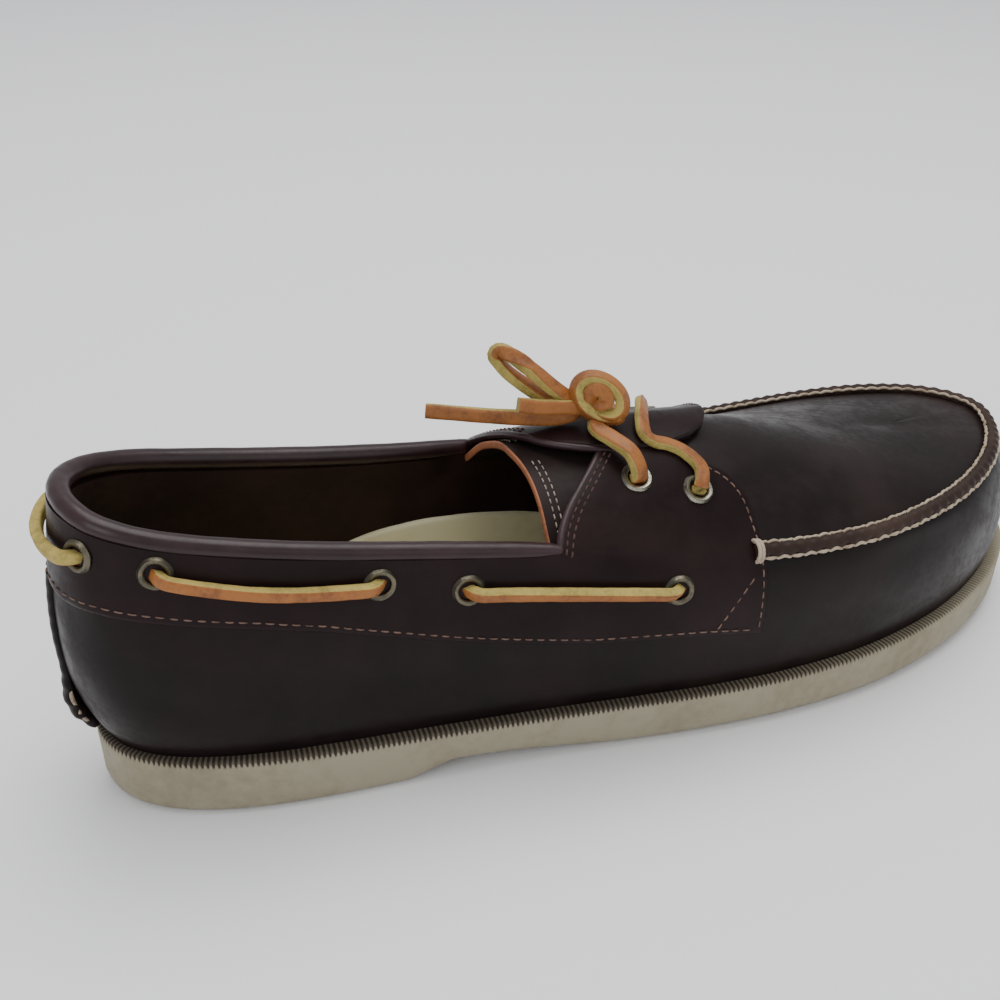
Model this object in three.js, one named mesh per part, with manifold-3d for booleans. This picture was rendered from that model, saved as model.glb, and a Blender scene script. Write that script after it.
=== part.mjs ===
// A right-foot boat shoe: low moccasin-toe leather upper on a flat rubber sole,
// with a rawhide lace that runs through eyelets round the collar and over the throat.
// Millimetres. +X runs heel to toe, +Y to the inner (medial) side, +Z up, ground at z = 0.
import * as THREE from "three";
import { mergeVertices } from "three/addons/utils/BufferGeometryUtils.js";
import Module from "manifold-3d";

const wasm = await Module();
wasm.setup();

// ---------------------------------------------------------------- driving dimensions

const WALL = 2.2; // leather wall of the upper
const GAP = 0.3; // air between pieces that touch
const INSOLE_THICKNESS = 3;
const INSOLE_MARGIN = 3.2; // insole edge inside the upper's foot line
const TONGUE_DEPTH = 3.6; // tongue's top face below the outer face of the upper
const TONGUE_THICKNESS = 2;
const TOE_SPRING = 5;
const BREAST_STEP = 4; // rise of the sole just in front of the heel

const EYELET_OUTER_RADIUS = 4.6;
const EYELET_BARREL_RADIUS = 3.65;
const EYELET_BORE_RADIUS = 3;
const EYELET_HEIGHT = 1;
const EYELET_DEPTH = 2.4;
const EYELET_HOLE_RADIUS = 4;
const EYELET_SIDES = 12;

const LACE_WIDTH = 3.4; // square rawhide
const BAR_CLEAR = 4; // height of the lace over an eyelet where it turns
const BAR_LIFT = 3.4; // and over the wall between two eyelets
const CORD_RADIUS = 1.8;
const CORD_SIDES = 8;

const WALL_ROWS = 6; // rows up the wall, and again over the rim or the vamp
const CAP_ANGLES = [45, 90, 135];

// ---------------------------------------------------------------- section tables

// One row for each of 19 stations from the heel's back (0) to the toe's tip (18).
// The outline and the rim are given for the lateral (L) and medial (M) side.
//  soleXL soleYL soleXM soleYM soleTop | rimXL  rimYL  rimXM  rimYM rimZ | inset belly bellyUp tuck tuckUp
const STATIONS = table(
  ["soleXL", "soleYL", "soleXM", "soleYM", "soleTop", "rimXL", "rimYL", "rimXM", "rimYM", "rimZ",
    "inset", "belly", "bellyUp", "tuck", "tuckUp"],
  [
    [-144, -2, -144, -2, 17.5, -146.5, -3, -146.5, -3, 88, 1.5, 12.5, 0.34, 2.5, 0.35],
    [-141.3, -12.3, -141.3, 8.3, 17.5, -145, -13, -143.8, 6.5, 87.3, 1.5, 12.5, 0.34, 2.5, 0.35],
    [-134.2, -20.8, -134.2, 17.3, 17.5, -139.3, -21.8, -136.8, 14.5, 85.5, 1.8, 12, 0.34, 2.5, 0.35],
    [-122.5, -27.3, -122.5, 24.5, 17.3, -127.3, -27.8, -125, 20.6, 82.2, 2.2, 10, 0.36, 2.3, 0.35],
    [-107, -31.8, -107, 28.8, 16.9, -109.5, -31, -109, 24, 78, 2.6, 8, 0.38, 2.2, 0.35],
    [-89, -34.4, -89, 30, 16.3, -90, -33.2, -90, 25.5, 74, 3, 6.5, 0.4, 2.2, 0.35],
    [-70, -36, -70, 28.6, 15.7, -70, -35, -70, 26, 70.5, 3, 5.5, 0.42, 2.2, 0.35],
    [-50, -38, -50, 26.8, 15.2, -50, -37.2, -50, 26.5, 67.5, 3, 5, 0.42, 2.3, 0.35],
    [-30, -40.4, -30, 27, 14.8, -30, -39.8, -29, 27.5, 64.8, 3, 5, 0.42, 3, 0.3],
    [-8, -43.8, -7.5, 30.5, 14.6, -8, -43, -7.5, 29, 61.8, 3, 5, 0.43, 5, 0.2],
    [15, -47.2, 16, 36.5, 14.5, 14.5, -45, 15.5, 31, 58.8, 3, 4.5, 0.44, 7, 0.13],
    [39, -49, 42, 44, 14.5, 39, -45.5, 41, 34.5, 55.6, 3, 4, 0.45, 8, 0.1],
    [64, -48, 69, 48.8, 14.6, 64, -43.8, 67, 37.5, 54, 3, 4, 0.45, 8, 0.1],
    [87, -43.4, 93.5, 50.2, 14.8, 87, -38, 90.5, 38, 53.6, 3, 4, 0.45, 8, 0.1],
    [107, -36.2, 116, 47.8, 15.1, 106, -29.4, 111, 35.4, 53.6, 3, 3.8, 0.45, 8, 0.1],
    [125.8, -25.6, 135.2, 41, 15.6, 120.4, -19.3, 125.4, 29.4, 53.9, 3, 3.5, 0.45, 8, 0.1],
    [139.8, -13.6, 146.2, 31.4, 16.1, 130.2, -9.2, 133.6, 22.2, 54.2, 3, 3, 0.45, 7.5, 0.1],
    [148.2, -1.6, 150.4, 21, 16.5, 136.4, 0.6, 137.6, 15.2, 54.4, 3, 2.8, 0.45, 7, 0.1],
    [151, 10, 151, 10, 16.6, 138.8, 8.2, 138.8, 8.2, 54.5, 3, 2.8, 0.45, 7, 0.1],
  ],
);
const LAST_STATION = STATIONS.length - 1;
const RING = 2 * LAST_STATION;

// The ridge along the top of the foot, from the throat forward.
const FIRST_CROWN_STATION = 7;
const CROWN = table(
  ["x", "y", "z"],
  [
    [-52, -5.5, 79.5],
    [-30, -6.5, 80.8],
    [-8, -7.5, 82.3],
    [15, -7.5, 80.6],
    [36, -6, 75.8],
    [54, -4.3, 70.3],
    [68.5, -2.8, 65.8],
    [80, -1.4, 62.8],
    [88.5, -0.3, 61],
    [94.5, 0.5, 60],
    [98.5, 1.1, 59.4],
    [100, 1.4, 59.2],
  ],
);

const TOE_FLATTENS = [12, 17.5]; // stations over which the vamp's arch turns into the flatter toe
const VAMP_CURVE = 2; // power of the arch across the foot, outer side
const INNER_CURVE = [1.5, 1.25]; // the same on the inner side, at the saddle and ahead of it
const INNER_CHANGES = [9.6, 11]; // stations over which it goes from the one to the other
const TOE_CURVE = 1.3;

// Where the upper ends: 1 is the rim line, 2 is the ridge. The collar ends at the throat corner.
const UPPER_END = [
  [0, 1], [8, 1], [8.15, 1.16], [8.45, 1.43], [8.98, 1.75], [9.5, 1.8], [10, 1.84], [10.35, 2], [18, 2],
];
const SLOT_END = 10.35;
// Where the rows up the wall give way to the rows over the rim or the vamp.
const ROW_SPLIT = [[0, 0.9], [7.5, 0.9], [8, 1], [18, 1]];
// Half the thickness of the rim: a padded roll at the collar, a plain edge at the saddle.
const RIM_HALF = [[0, 2.7], [6.5, 2.7], [7.5, 2.2], [8.1, 1.3], [18, 1.3]];
const RIM_REACH = 6; // length over which the wall thickens into the rim
const WALL_LENGTH = 55; // rough length of the wall up to the rim

// Section of the sole's edge, bottom to top: inset at the heel, inset at the forefoot, height.
// A height above zero counts from the bottom, one below zero from the top.
const SOLE_EDGE = table(
  ["heelInset", "foreInset", "height"],
  [
    [3.4, 5.2, 0],
    [1.5, 2.2, 1.4],
    [0.6, 0.6, 4.6],
    [0, 0, -3],
    [0, 0, -0.8],
    [0.8, 0.8, -0.01],
  ],
);
const HEEL_FRONT = 6; // stations between which the heel breast slopes up
const BREAST_TOP = 6.6;
const ARCH_END = 9.3;
const SPRING_START = 13.4;

// Side eyelets: station, distance under the rim line.
const SIDE_EYELETS = table(
  ["name", "station", "drop"],
  [
    ["heel", 1.6, 7.8],
    ["rear_back", 3, 6.6],
    ["rear_front", 5.7, 7.2],
    ["front_back", 6.8, 9.2],
    ["front_front", 9.4, 9.4],
  ],
);
// Saddle eyelets: side, station, share of the way from rim line to ridge.
const SADDLE_EYELETS = table(
  ["side", "name", "station", "share"],
  [
    ["lateral", "saddle_back", 9.2, 0.42],
    ["lateral", "saddle_front", 9.9, 0.32],
    ["medial", "saddle_back", 9.25, 0.6],
    ["medial", "saddle_front", 10, 0.7],
  ],
);

// Free lace: routes chosen by hand.
const KNOT_CENTRE = new THREE.Vector3(-6.8, -12.6, 92);
const KNOT_RADII = new THREE.Vector3(8.4, 7.6, 7.8);
const LOOP_ROUTE = [
  [-15.2, -13.4, 96.6], [-18.6, -13.4, 100.4], [-22.6, -12, 104.4], [-26.2, -9.6, 106.8], [-27.4, -6.6, 106.4],
  [-25.6, -4.2, 103.4], [-21.6, -3.8, 99.4], [-17.8, -4.6, 96.4], [-14.6, -6.2, 94.4],
];
const SHORT_END_ROUTE = [[-18.2, -9.6, 90.2], [-21, -9, 90.3], [-24.4, -8.3, 90.8], [-28, -7.8, 91.6]];
const LONG_END_ROUTE = [
  [-15.4, -7.6, 85.9], [-20, -5, 85.3], [-26, -1.6, 85], [-33, 2.4, 85], [-40, 6.4, 85.2], [-47, 10.4, 85.4],
];
const NEAR_RISE_ROUTE = [[-4.4, -30.2, 81], [-5.2, -27, 84.6], [-6.2, -22.4, 87.6]];
const FAR_RISE_ROUTE = [[-1.6, 6.6, 82], [-2.4, 2.6, 86.4], [-4, -1.2, 89.4], [-5.2, -4, 90.6]];

// ---------------------------------------------------------------- table helpers

/** Turns rows of values into objects with named columns. */
function table(columns, rows) {
  return rows.map((row) => Object.fromEntries(columns.map((name, i) => [name, row[i]])));
}

/** Straight-line look-up in a list of [key, value] pairs. */
function lookUp(pairs, key) {
  const next = pairs.findIndex(([k]) => k >= key);
  if (next <= 0) return pairs[next === 0 ? 0 : pairs.length - 1][1];
  const [k0, v0] = pairs[next - 1];
  const [k1, v1] = pairs[next];
  return THREE.MathUtils.mapLinear(key, k0, k1, v0, v1);
}

/** Catmull-Rom value between p1 and p2. */
function catmullRom(p0, p1, p2, p3, t) {
  const a = 2 * p1;
  const b = p2 - p0;
  const c = 2 * p0 - 5 * p1 + 4 * p2 - p3;
  const d = 3 * p1 - p0 - 3 * p2 + p3;
  return 0.5 * (a + b * t + c * t * t + d * t ** 3);
}

/** A column as a closed ring: lateral side heel to toe, then medial side toe to heel. */
function ring(lateral, medial = lateral) {
  const out = STATIONS.map((row) => row[lateral]);
  for (let i = LAST_STATION - 1; i > 0; i -= 1) out.push(STATIONS[i][medial]);
  return out;
}

const RINGS = {
  soleX: ring("soleXL", "soleXM"),
  soleY: ring("soleYL", "soleYM"),
  soleTop: ring("soleTop"),
  rimX: ring("rimXL", "rimXM"),
  rimY: ring("rimYL", "rimYM"),
  rimZ: ring("rimZ"),
  inset: ring("inset"),
  belly: ring("belly"),
  bellyUp: ring("bellyUp"),
  tuck: ring("tuck"),
  tuckUp: ring("tuckUp"),
};

/** Smooth value of a ring column at q, which runs from 0 to RING and wraps. */
function ringValue(name, q) {
  const values = RINGS[name];
  const wrapped = THREE.MathUtils.euclideanModulo(q, RING);
  const i = Math.floor(wrapped);
  const at = (n) => values[THREE.MathUtils.euclideanModulo(n, RING)];
  return catmullRom(at(i - 1), at(i), at(i + 1), at(i + 2), wrapped - i);
}

/** Station (0 at the heel, 18 at the toe) of a ring position. */
function stationOf(q) {
  const wrapped = THREE.MathUtils.euclideanModulo(q, RING);
  return wrapped <= LAST_STATION ? wrapped : RING - wrapped;
}

/** Smooth point of the ridge at a station. */
function crownPoint(station) {
  const last = CROWN.length - 1;
  const k = THREE.MathUtils.clamp(station - FIRST_CROWN_STATION, 0, last);
  const i = Math.min(Math.floor(k), last - 1);
  const at = (n) => CROWN[n > last ? last - 1 : Math.max(n, 0)];
  const [p0, p1, p2, p3] = [at(i - 1), at(i), at(i + 1), at(i + 2)];
  const value = (axis) => catmullRom(p0[axis], p1[axis], p2[axis], p3[axis], k - i);
  return new THREE.Vector3(value("x"), value("y"), value("z"));
}

// ---------------------------------------------------------------- the last's surface

/** Outward direction of the sole's outline, in plan. */
function planNormal(q) {
  const step = 0.01;
  const dx = ringValue("soleX", q + step) - ringValue("soleX", q - step);
  const dy = ringValue("soleY", q + step) - ringValue("soleY", q - step);
  return new THREE.Vector3(dy, -dx, 0).normalize();
}

/** Outline of the sole in plan, moved in by inset. */
function outlinePoint(q, inset, z) {
  const edge = new THREE.Vector3(ringValue("soleX", q), ringValue("soleY", q), z);
  return edge.addScaledVector(planNormal(q), -inset);
}

/** The rim line: the collar, and in front the fold that carries the moccasin seam. */
function rimPoint(q) {
  return new THREE.Vector3(ringValue("rimX", q), ringValue("rimY", q), ringValue("rimZ", q));
}

/** Power of the arch from the rim line to the ridge behind the toe. */
function vampCurve(q) {
  if (q <= LAST_STATION) return VAMP_CURVE;
  return THREE.MathUtils.lerp(...INNER_CURVE, THREE.MathUtils.smoothstep(stationOf(q), ...INNER_CHANGES));
}

/** Outer face of the foot shape: v 0 at the sole, 1 at the rim line, 2 at the ridge. */
function lastPoint(q, v) {
  const rim = rimPoint(q);
  if (v > 1) {
    const top = crownPoint(stationOf(q));
    const share = v - 1;
    const toe = THREE.MathUtils.smoothstep(stationOf(q), ...TOE_FLATTENS);
    const rise = 1 - (1 - share) ** THREE.MathUtils.lerp(vampCurve(q), TOE_CURVE, toe);
    return new THREE.Vector3(
      THREE.MathUtils.lerp(rim.x, top.x, share),
      THREE.MathUtils.lerp(rim.y, top.y, share),
      THREE.MathUtils.lerp(rim.z, top.z, rise),
    );
  }
  const out = planNormal(q);
  const foot = outlinePoint(q, ringValue("inset", q), ringValue("soleTop", q) + GAP);
  const height = rim.z - foot.z;
  const low = foot.clone().addScaledVector(out, ringValue("belly", q));
  low.z += ringValue("bellyUp", q) * height;
  const high = rim.clone().addScaledVector(out, ringValue("tuck", q));
  high.z -= ringValue("tuckUp", q) * height;
  return new THREE.CubicBezierCurve3(foot, low, high, rim).getPoint(Math.max(v, 0));
}

/** Outward normal of the foot shape. */
function lastNormal(q, v) {
  if (v > 1.98) {
    const station = Math.min(stationOf(q), LAST_STATION - 0.2);
    const run = crownPoint(station + 0.1).sub(crownPoint(station - 0.1));
    return new THREE.Vector3(-run.z, 0, run.x).normalize();
  }
  const across = lastPoint(q + 0.03, v).sub(lastPoint(q - 0.03, v));
  const [low, high] = v <= 1 ? [0, 1] : [1, 2];
  const up = lastPoint(q, Math.min(v + 0.01, high)).sub(lastPoint(q, Math.max(v - 0.01, low)));
  return across.cross(up).normalize();
}

/** Point at a depth under the outer face. */
function depthPoint(q, v, depth) {
  return lastPoint(q, v).addScaledVector(lastNormal(q, v), -depth);
}

// ---------------------------------------------------------------- mesh helpers

/** Builds a closed mesh from quads and triangles of points, with shared corners merged. */
function closedGeometry(faces) {
  const corners = [];
  for (const face of faces) {
    for (let i = 2; i < face.length; i += 1) corners.push(face[0], face[i - 1], face[i]);
  }
  const loose = new THREE.BufferGeometry().setFromPoints(corners);
  return outward(loose);
}

/** Merges corners, drops empty triangles and turns the faces outwards. */
function outward(geometry) {
  const plain = geometry.clone();
  for (const name of Object.keys(plain.attributes)) {
    if (name !== "position") plain.deleteAttribute(name);
  }
  const merged = mergeVertices(plain, 1e-3);
  const index = [...merged.index.array];
  const kept = [];
  for (let i = 0; i < index.length; i += 3) {
    const [a, b, c] = index.slice(i, i + 3);
    if (a !== b && b !== c && c !== a) kept.push(a, b, c);
  }
  merged.setIndex(signedVolume(merged, kept) < 0 ? kept.reverse() : kept);
  return merged;
}

/** Volume inside a triangle list, below zero when its faces point inwards. */
function signedVolume(geometry, index) {
  const position = geometry.getAttribute("position");
  const at = (i) => new THREE.Vector3().fromBufferAttribute(position, index[i]);
  let volume = 0;
  for (let i = 0; i < index.length; i += 3) volume += at(i).dot(at(i + 1).cross(at(i + 2))) / 6;
  return volume;
}

function toManifold(geometry) {
  const vertProperties = new Float32Array(geometry.getAttribute("position").array);
  const triVerts = new Uint32Array(geometry.index.array);
  return new wasm.Manifold(new wasm.Mesh({ numProp: 3, vertProperties, triVerts }));
}

function fromManifold(solid) {
  const mesh = solid.getMesh();
  const geometry = new THREE.BufferGeometry();
  geometry.setAttribute("position", new THREE.BufferAttribute(mesh.vertProperties, 3));
  geometry.setIndex([...mesh.triVerts]);
  return geometry;
}

/** Quads between neighbouring ribs. Each rib is a list of points; keep(i, j) may leave one out. */
function skin(ribs, { closedRibs, closedSection, keep = () => true }) {
  const faces = [];
  const ribCount = closedRibs ? ribs.length : ribs.length - 1;
  for (let i = 0; i < ribCount; i += 1) {
    const here = ribs[i];
    const next = ribs[(i + 1) % ribs.length];
    const count = closedSection ? here.length : here.length - 1;
    for (let j = 0; j < count; j += 1) {
      const k = (j + 1) % here.length;
      if (keep(i, j)) faces.push([here[j], next[j], next[k], here[k]]);
    }
  }
  return faces;
}

/** Ring positions for a list of stations, lateral side out and medial side back. */
function ringPositions(stations) {
  const back = stations.slice(1, -1).reverse();
  return [...stations, ...back.map((station) => RING - station)];
}

function range(start, end, step) {
  const count = Math.round((end - start) / step);
  return Array.from({ length: count + 1 }, (_, i) => start + i * step);
}

/** Piece with a level section from side to side: its edge is skinned, its faces are strips across. */
function plate(stations, section) {
  const ribs = ringPositions(stations).map(section);
  const faces = skin(ribs, { closedRibs: true, closedSection: false });
  const top = ribs[0].length - 1;
  for (let i = 0; i < stations.length - 1; i += 1) {
    const [left, leftNext] = [ribs[i], ribs[i + 1]];
    const right = ribs[(ribs.length - i) % ribs.length];
    const rightNext = ribs[ribs.length - i - 1];
    faces.push([left[top], leftNext[top], rightNext[top], right[top]]);
    faces.push([right[0], rightNext[0], leftNext[0], left[0]]);
  }
  return closedGeometry(faces);
}

// ---------------------------------------------------------------- sole and insole

/** Height of the sole's underside at a station. */
function soleBottom(station) {
  if (station <= HEEL_FRONT) return 0;
  if (station <= BREAST_TOP) {
    return THREE.MathUtils.mapLinear(station, HEEL_FRONT, BREAST_TOP, 0, BREAST_STEP);
  }
  if (station <= ARCH_END) {
    const share = THREE.MathUtils.mapLinear(station, BREAST_TOP, ARCH_END, 0, 1);
    return BREAST_STEP * (1 - THREE.MathUtils.smoothstep(share, 0, 1));
  }
  const spring = Math.max(station - SPRING_START, 0) / (LAST_STATION - SPRING_START);
  return TOE_SPRING * spring ** 2;
}

function outsoleGeometry() {
  const stations = [...range(0, HEEL_FRONT, 0.5), BREAST_TOP, ...range(7, 18, 0.5)];
  return plate(stations, (q) => {
    const station = stationOf(q);
    const bottom = soleBottom(station);
    const top = ringValue("soleTop", q);
    const fore = THREE.MathUtils.smoothstep(station, HEEL_FRONT, ARCH_END);
    return SOLE_EDGE.map(({ heelInset, foreInset, height }) => {
      const inset = THREE.MathUtils.lerp(heelInset, foreInset, fore);
      const z = height >= 0 ? bottom + height : top + height;
      return outlinePoint(q, inset, z);
    });
  });
}

function insoleGeometry() {
  return plate(range(0, 18, 1), (q) => {
    const inset = ringValue("inset", q) + INSOLE_MARGIN;
    const low = ringValue("soleTop", q) + GAP;
    return [
      outlinePoint(q, inset, low),
      outlinePoint(q, inset, low + INSOLE_THICKNESS - 0.6),
      outlinePoint(q, inset + 0.9, low + INSOLE_THICKNESS),
    ];
  });
}

// ---------------------------------------------------------------- upper

/** Leather thickness: the plain wall, growing into the rim at the top edge. */
function wallThickness(station, v) {
  const end = lookUp(UPPER_END, station);
  if (end >= 2) return WALL;
  const rim = 2 * lookUp(RIM_HALF, station);
  const distance = (end - v) * WALL_LENGTH;
  return WALL + (rim - WALL) * Math.exp(-((distance / RIM_REACH) ** 2));
}

/** Rounded edge from the outer to the inner face of the upper. */
function rimCap(q, end, outer, inner) {
  const centre = outer.clone().add(inner).multiplyScalar(0.5);
  const half = outer.clone().sub(centre);
  const out = end >= 2 ? new THREE.Vector3(-1, 0, 0) : lastPoint(q, end).sub(lastPoint(q, end - 0.04));
  out.addScaledVector(half, -out.dot(half) / half.lengthSq()).normalize();
  return CAP_ANGLES.map((degrees) => {
    const angle = THREE.MathUtils.degToRad(degrees);
    const point = centre.clone().addScaledVector(half, Math.cos(angle));
    return point.addScaledVector(out, half.length() * Math.sin(angle));
  });
}

/** Closed section of the upper at one rib: up the outer face, over the rim, down the inner face. */
function upperSection(q) {
  const station = stationOf(q);
  const end = lookUp(UPPER_END, station);
  const outer = [];
  const inner = [];
  const split = lookUp(ROW_SPLIT, station);
  for (let row = 0; row <= 2 * WALL_ROWS; row += 1) {
    const share = row / WALL_ROWS;
    const v = share <= 1 ? split * share : THREE.MathUtils.lerp(split, end, share - 1);
    outer.push(lastPoint(q, v));
    inner.push(depthPoint(q, v, wallThickness(station, v)));
  }
  inner[0].z = outer[0].z;
  const cap = rimCap(q, end, outer.at(-1), inner.at(-1));
  return [...outer, ...cap, ...inner.reverse()];
}

function upperShell() {
  const throat = UPPER_END.map(([station]) => station).filter((station) => station > 8 && station < 18);
  const stations = [...range(0, 8, 0.5), ...throat, ...range(11, 18, 0.5)];
  const positions = ringPositions(stations);
  const capStart = 2 * WALL_ROWS;
  const capEnd = capStart + CAP_ANGLES.length;
  const isClosed = (i) => stationOf(positions[i % positions.length]) >= SLOT_END;
  const keep = (i, j) => !(j >= capStart && j <= capEnd && isClosed(i) && isClosed(i + 1));
  const ribs = positions.map(upperSection);
  return closedGeometry(skin(ribs, { closedRibs: true, closedSection: true, keep }));
}

function upperGeometry(seats) {
  let solid = toManifold(upperShell());
  for (const seat of seats) {
    const punch = new THREE.CylinderGeometry(EYELET_HOLE_RADIUS, EYELET_HOLE_RADIUS, 16, EYELET_SIDES);
    solid = solid.subtract(toManifold(outward(seated(punch, seat))));
  }
  return fromManifold(solid);
}

// ---------------------------------------------------------------- tongue

function tongueGeometry() {
  const stations = [8.06, 8.15, 8.45, 8.98, 9.5, 10, 10.35, 11];
  const sideRows = range(1.1, 2, 0.18);
  const ribs = stations.map((station) => {
    const lateral = sideRows.map((v) => [station, v]);
    const medial = sideRows.slice(0, -1).map((v) => [RING - station, v]).reverse();
    const across = [...lateral, ...medial];
    const layer = (depth) => across.map(([q, v]) => depthPoint(q, v, depth));
    return [...layer(TONGUE_DEPTH), ...layer(TONGUE_DEPTH + TONGUE_THICKNESS).reverse()];
  });
  const faces = skin(ribs, { closedRibs: false, closedSection: true });
  const endFaces = (rib) => {
    const last = rib.length - 1;
    const cells = [];
    for (let j = 0; j < rib.length / 2 - 1; j += 1) cells.push([rib[j], rib[j + 1], rib[last - j - 1], rib[last - j]]);
    return cells;
  };
  faces.push(...endFaces(ribs[0]));
  faces.push(...endFaces(ribs.at(-1)).map((cell) => cell.reverse()));
  return closedGeometry(faces);
}

// ---------------------------------------------------------------- eyelets

/** Where an eyelet sits: its name, centre on the outer face, and outward normal. */
function eyeletSeats() {
  const seats = [];
  for (const side of ["lateral", "medial"]) {
    const ringAt = (station) => (side === "lateral" ? station : RING - station);
    for (const { name, station, drop } of SIDE_EYELETS) {
      const q = ringAt(station);
      seats.push(seatAt(`eyelet_${side}_${name}`, q, heightToV(q, rimPoint(q).z - drop)));
    }
    for (const { name, station, share } of SADDLE_EYELETS.filter((row) => row.side === side)) {
      seats.push(seatAt(`eyelet_${side}_${name}`, ringAt(station), 1 + share));
    }
  }
  return seats;
}

function seatAt(name, q, v) {
  return { name, q, v, centre: lastPoint(q, v), normal: lastNormal(q, v) };
}

/** The wall position at a height, by halving. */
function heightToV(q, z) {
  let [low, high] = [0.2, 1];
  for (let i = 0; i < 30; i += 1) {
    const middle = (low + high) / 2;
    if (lastPoint(q, middle).z < z) low = middle;
    else high = middle;
  }
  return low;
}

/** Turns a shape made round +Y so that +Y is the seat's normal, and puts it on the seat. */
function seated(geometry, { centre, normal }) {
  const turn = new THREE.Quaternion().setFromUnitVectors(new THREE.Vector3(0, 1, 0), normal);
  return geometry.clone().applyQuaternion(turn).translate(centre.x, centre.y, centre.z);
}

function eyeletGeometry(seat) {
  const profile = [
    [EYELET_BORE_RADIUS, -EYELET_DEPTH],
    [EYELET_BARREL_RADIUS, -EYELET_DEPTH],
    [EYELET_BARREL_RADIUS, GAP],
    [EYELET_OUTER_RADIUS, GAP],
    [EYELET_OUTER_RADIUS - 0.5, EYELET_HEIGHT * 0.85],
    [EYELET_BORE_RADIUS + 0.6, EYELET_HEIGHT],
    [EYELET_BORE_RADIUS, EYELET_HEIGHT * 0.5],
    [EYELET_BORE_RADIUS, -EYELET_DEPTH],
  ].map(([radius, height]) => new THREE.Vector2(radius, height));
  return outward(seated(new THREE.LatheGeometry(profile, EYELET_SIDES), seat));
}

// ---------------------------------------------------------------- lace bars

/** Square strap along points, kept flat to the side direction given for each point. */
function strapGeometry(points, sideways) {
  const half = LACE_WIDTH / 2;
  const last = points.length - 1;
  const ribs = points.map((point, i) => {
    const along = points[Math.min(i + 1, last)].clone().sub(points[Math.max(i - 1, 0)]).normalize();
    const side = sideways.clone().addScaledVector(along, -sideways.dot(along)).normalize();
    const up = along.clone().cross(side);
    const corner = (a, b) => point.clone().addScaledVector(side, a * half).addScaledVector(up, b * half);
    return [corner(-1, -1), corner(1, -1), corner(1, 1), corner(-1, 1)];
  });
  const faces = skin(ribs, { closedRibs: false, closedSection: true });
  faces.push([...ribs[0]], [...ribs[last]].reverse());
  return closedGeometry(faces);
}

/** The lace comes out of one eyelet, runs along the wall and goes in at the next. */
function sideBarGeometry(from, to, { steps, lead, sag }) {
  const points = [
    from.centre.clone().addScaledVector(from.normal, -0.8),
    from.centre.clone().addScaledVector(from.normal, BAR_CLEAR),
  ];
  for (let i = 0; i <= steps; i += 1) {
    const share = THREE.MathUtils.mapLinear(i, 0, steps, lead, 1 - lead);
    const q = THREE.MathUtils.lerp(from.q, to.q, share);
    const z = THREE.MathUtils.lerp(from.centre.z, to.centre.z, share) - sag * Math.sin(Math.PI * share);
    const v = heightToV(q, z);
    points.push(lastPoint(q, v).addScaledVector(lastNormal(q, v), BAR_LIFT));
  }
  points.push(
    to.centre.clone().addScaledVector(to.normal, BAR_CLEAR),
    to.centre.clone().addScaledVector(to.normal, -0.8),
  );
  return strapGeometry(points, new THREE.Vector3(0, 0, 1));
}

/** The lace crosses the throat from one front saddle eyelet to the other. */
function throatBarGeometry(near, far) {
  const middle = [[9.6, -27.8, 79], [6.6, -21, 83.2], [7, -12.6, 85.6], [9.8, -4.4, 85.4], [13, 1.2, 83.4]];
  const points = [
    near.centre.clone().addScaledVector(near.normal, -0.8),
    near.centre.clone().addScaledVector(near.normal, 3.6),
    ...middle.map((p) => new THREE.Vector3(...p)),
    far.centre.clone().addScaledVector(far.normal, 3.6),
    far.centre.clone().addScaledVector(far.normal, -0.8),
  ];
  return strapGeometry(points, new THREE.Vector3(1, 0, 0));
}

// ---------------------------------------------------------------- free lace

/** Plain tube along a route. */
function cordGeometry(route, stepsPerPoint = 1) {
  const curve = new THREE.CatmullRomCurve3(route.map((p) => (Array.isArray(p) ? new THREE.Vector3(...p) : p)));
  const section = new THREE.Shape(
    Array.from({ length: CORD_SIDES }, (_, i) => {
      const angle = (2 * Math.PI * i) / CORD_SIDES;
      return new THREE.Vector2(CORD_RADIUS * Math.cos(angle), CORD_RADIUS * Math.sin(angle));
    }),
  );
  const steps = (route.length - 1) * stepsPerPoint;
  return outward(new THREE.ExtrudeGeometry(section, { steps, bevelEnabled: false, extrudePath: curve }));
}

/** The lace's rise from an eyelet to the knot. */
function riseGeometry(seat, route) {
  const start = [
    seat.centre.clone().addScaledVector(seat.normal, -0.8),
    seat.centre.clone().addScaledVector(seat.normal, 3),
  ];
  return cordGeometry([...start, ...route]);
}

function knotGeometry() {
  const ball = new THREE.SphereGeometry(1, 12, 8);
  ball.scale(KNOT_RADII.x, KNOT_RADII.y, KNOT_RADII.z);
  ball.translate(KNOT_CENTRE.x, KNOT_CENTRE.y, KNOT_CENTRE.z);
  return outward(ball);
}

// ---------------------------------------------------------------- materials and assembly

const MATERIALS = {
  rubber: { color: 0xb3a68f, roughness: 0.75, metalness: 0 },
  leather: { color: 0x3a2428, roughness: 0.42, metalness: 0 },
  insole: { color: 0xb8a878, roughness: 0.7, metalness: 0 },
  brass: { color: 0x7a745c, roughness: 0.4, metalness: 1 },
  rawhide: { color: 0xc0803f, roughness: 0.65, metalness: 0 },
};

const shoe = new THREE.Group();
shoe.name = "boat_shoe";

function addPiece(name, geometry, material) {
  const mesh = new THREE.Mesh(geometry, new THREE.MeshStandardMaterial(MATERIALS[material]));
  mesh.name = name;
  shoe.add(mesh);
}

const seats = eyeletSeats();
const seat = (name) => seats.find((entry) => entry.name === `eyelet_${name}`);
/** The same seat with its ring position counted backwards past the heel. */
const pastHeel = (entry) => ({ ...entry, q: entry.q - RING });

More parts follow.
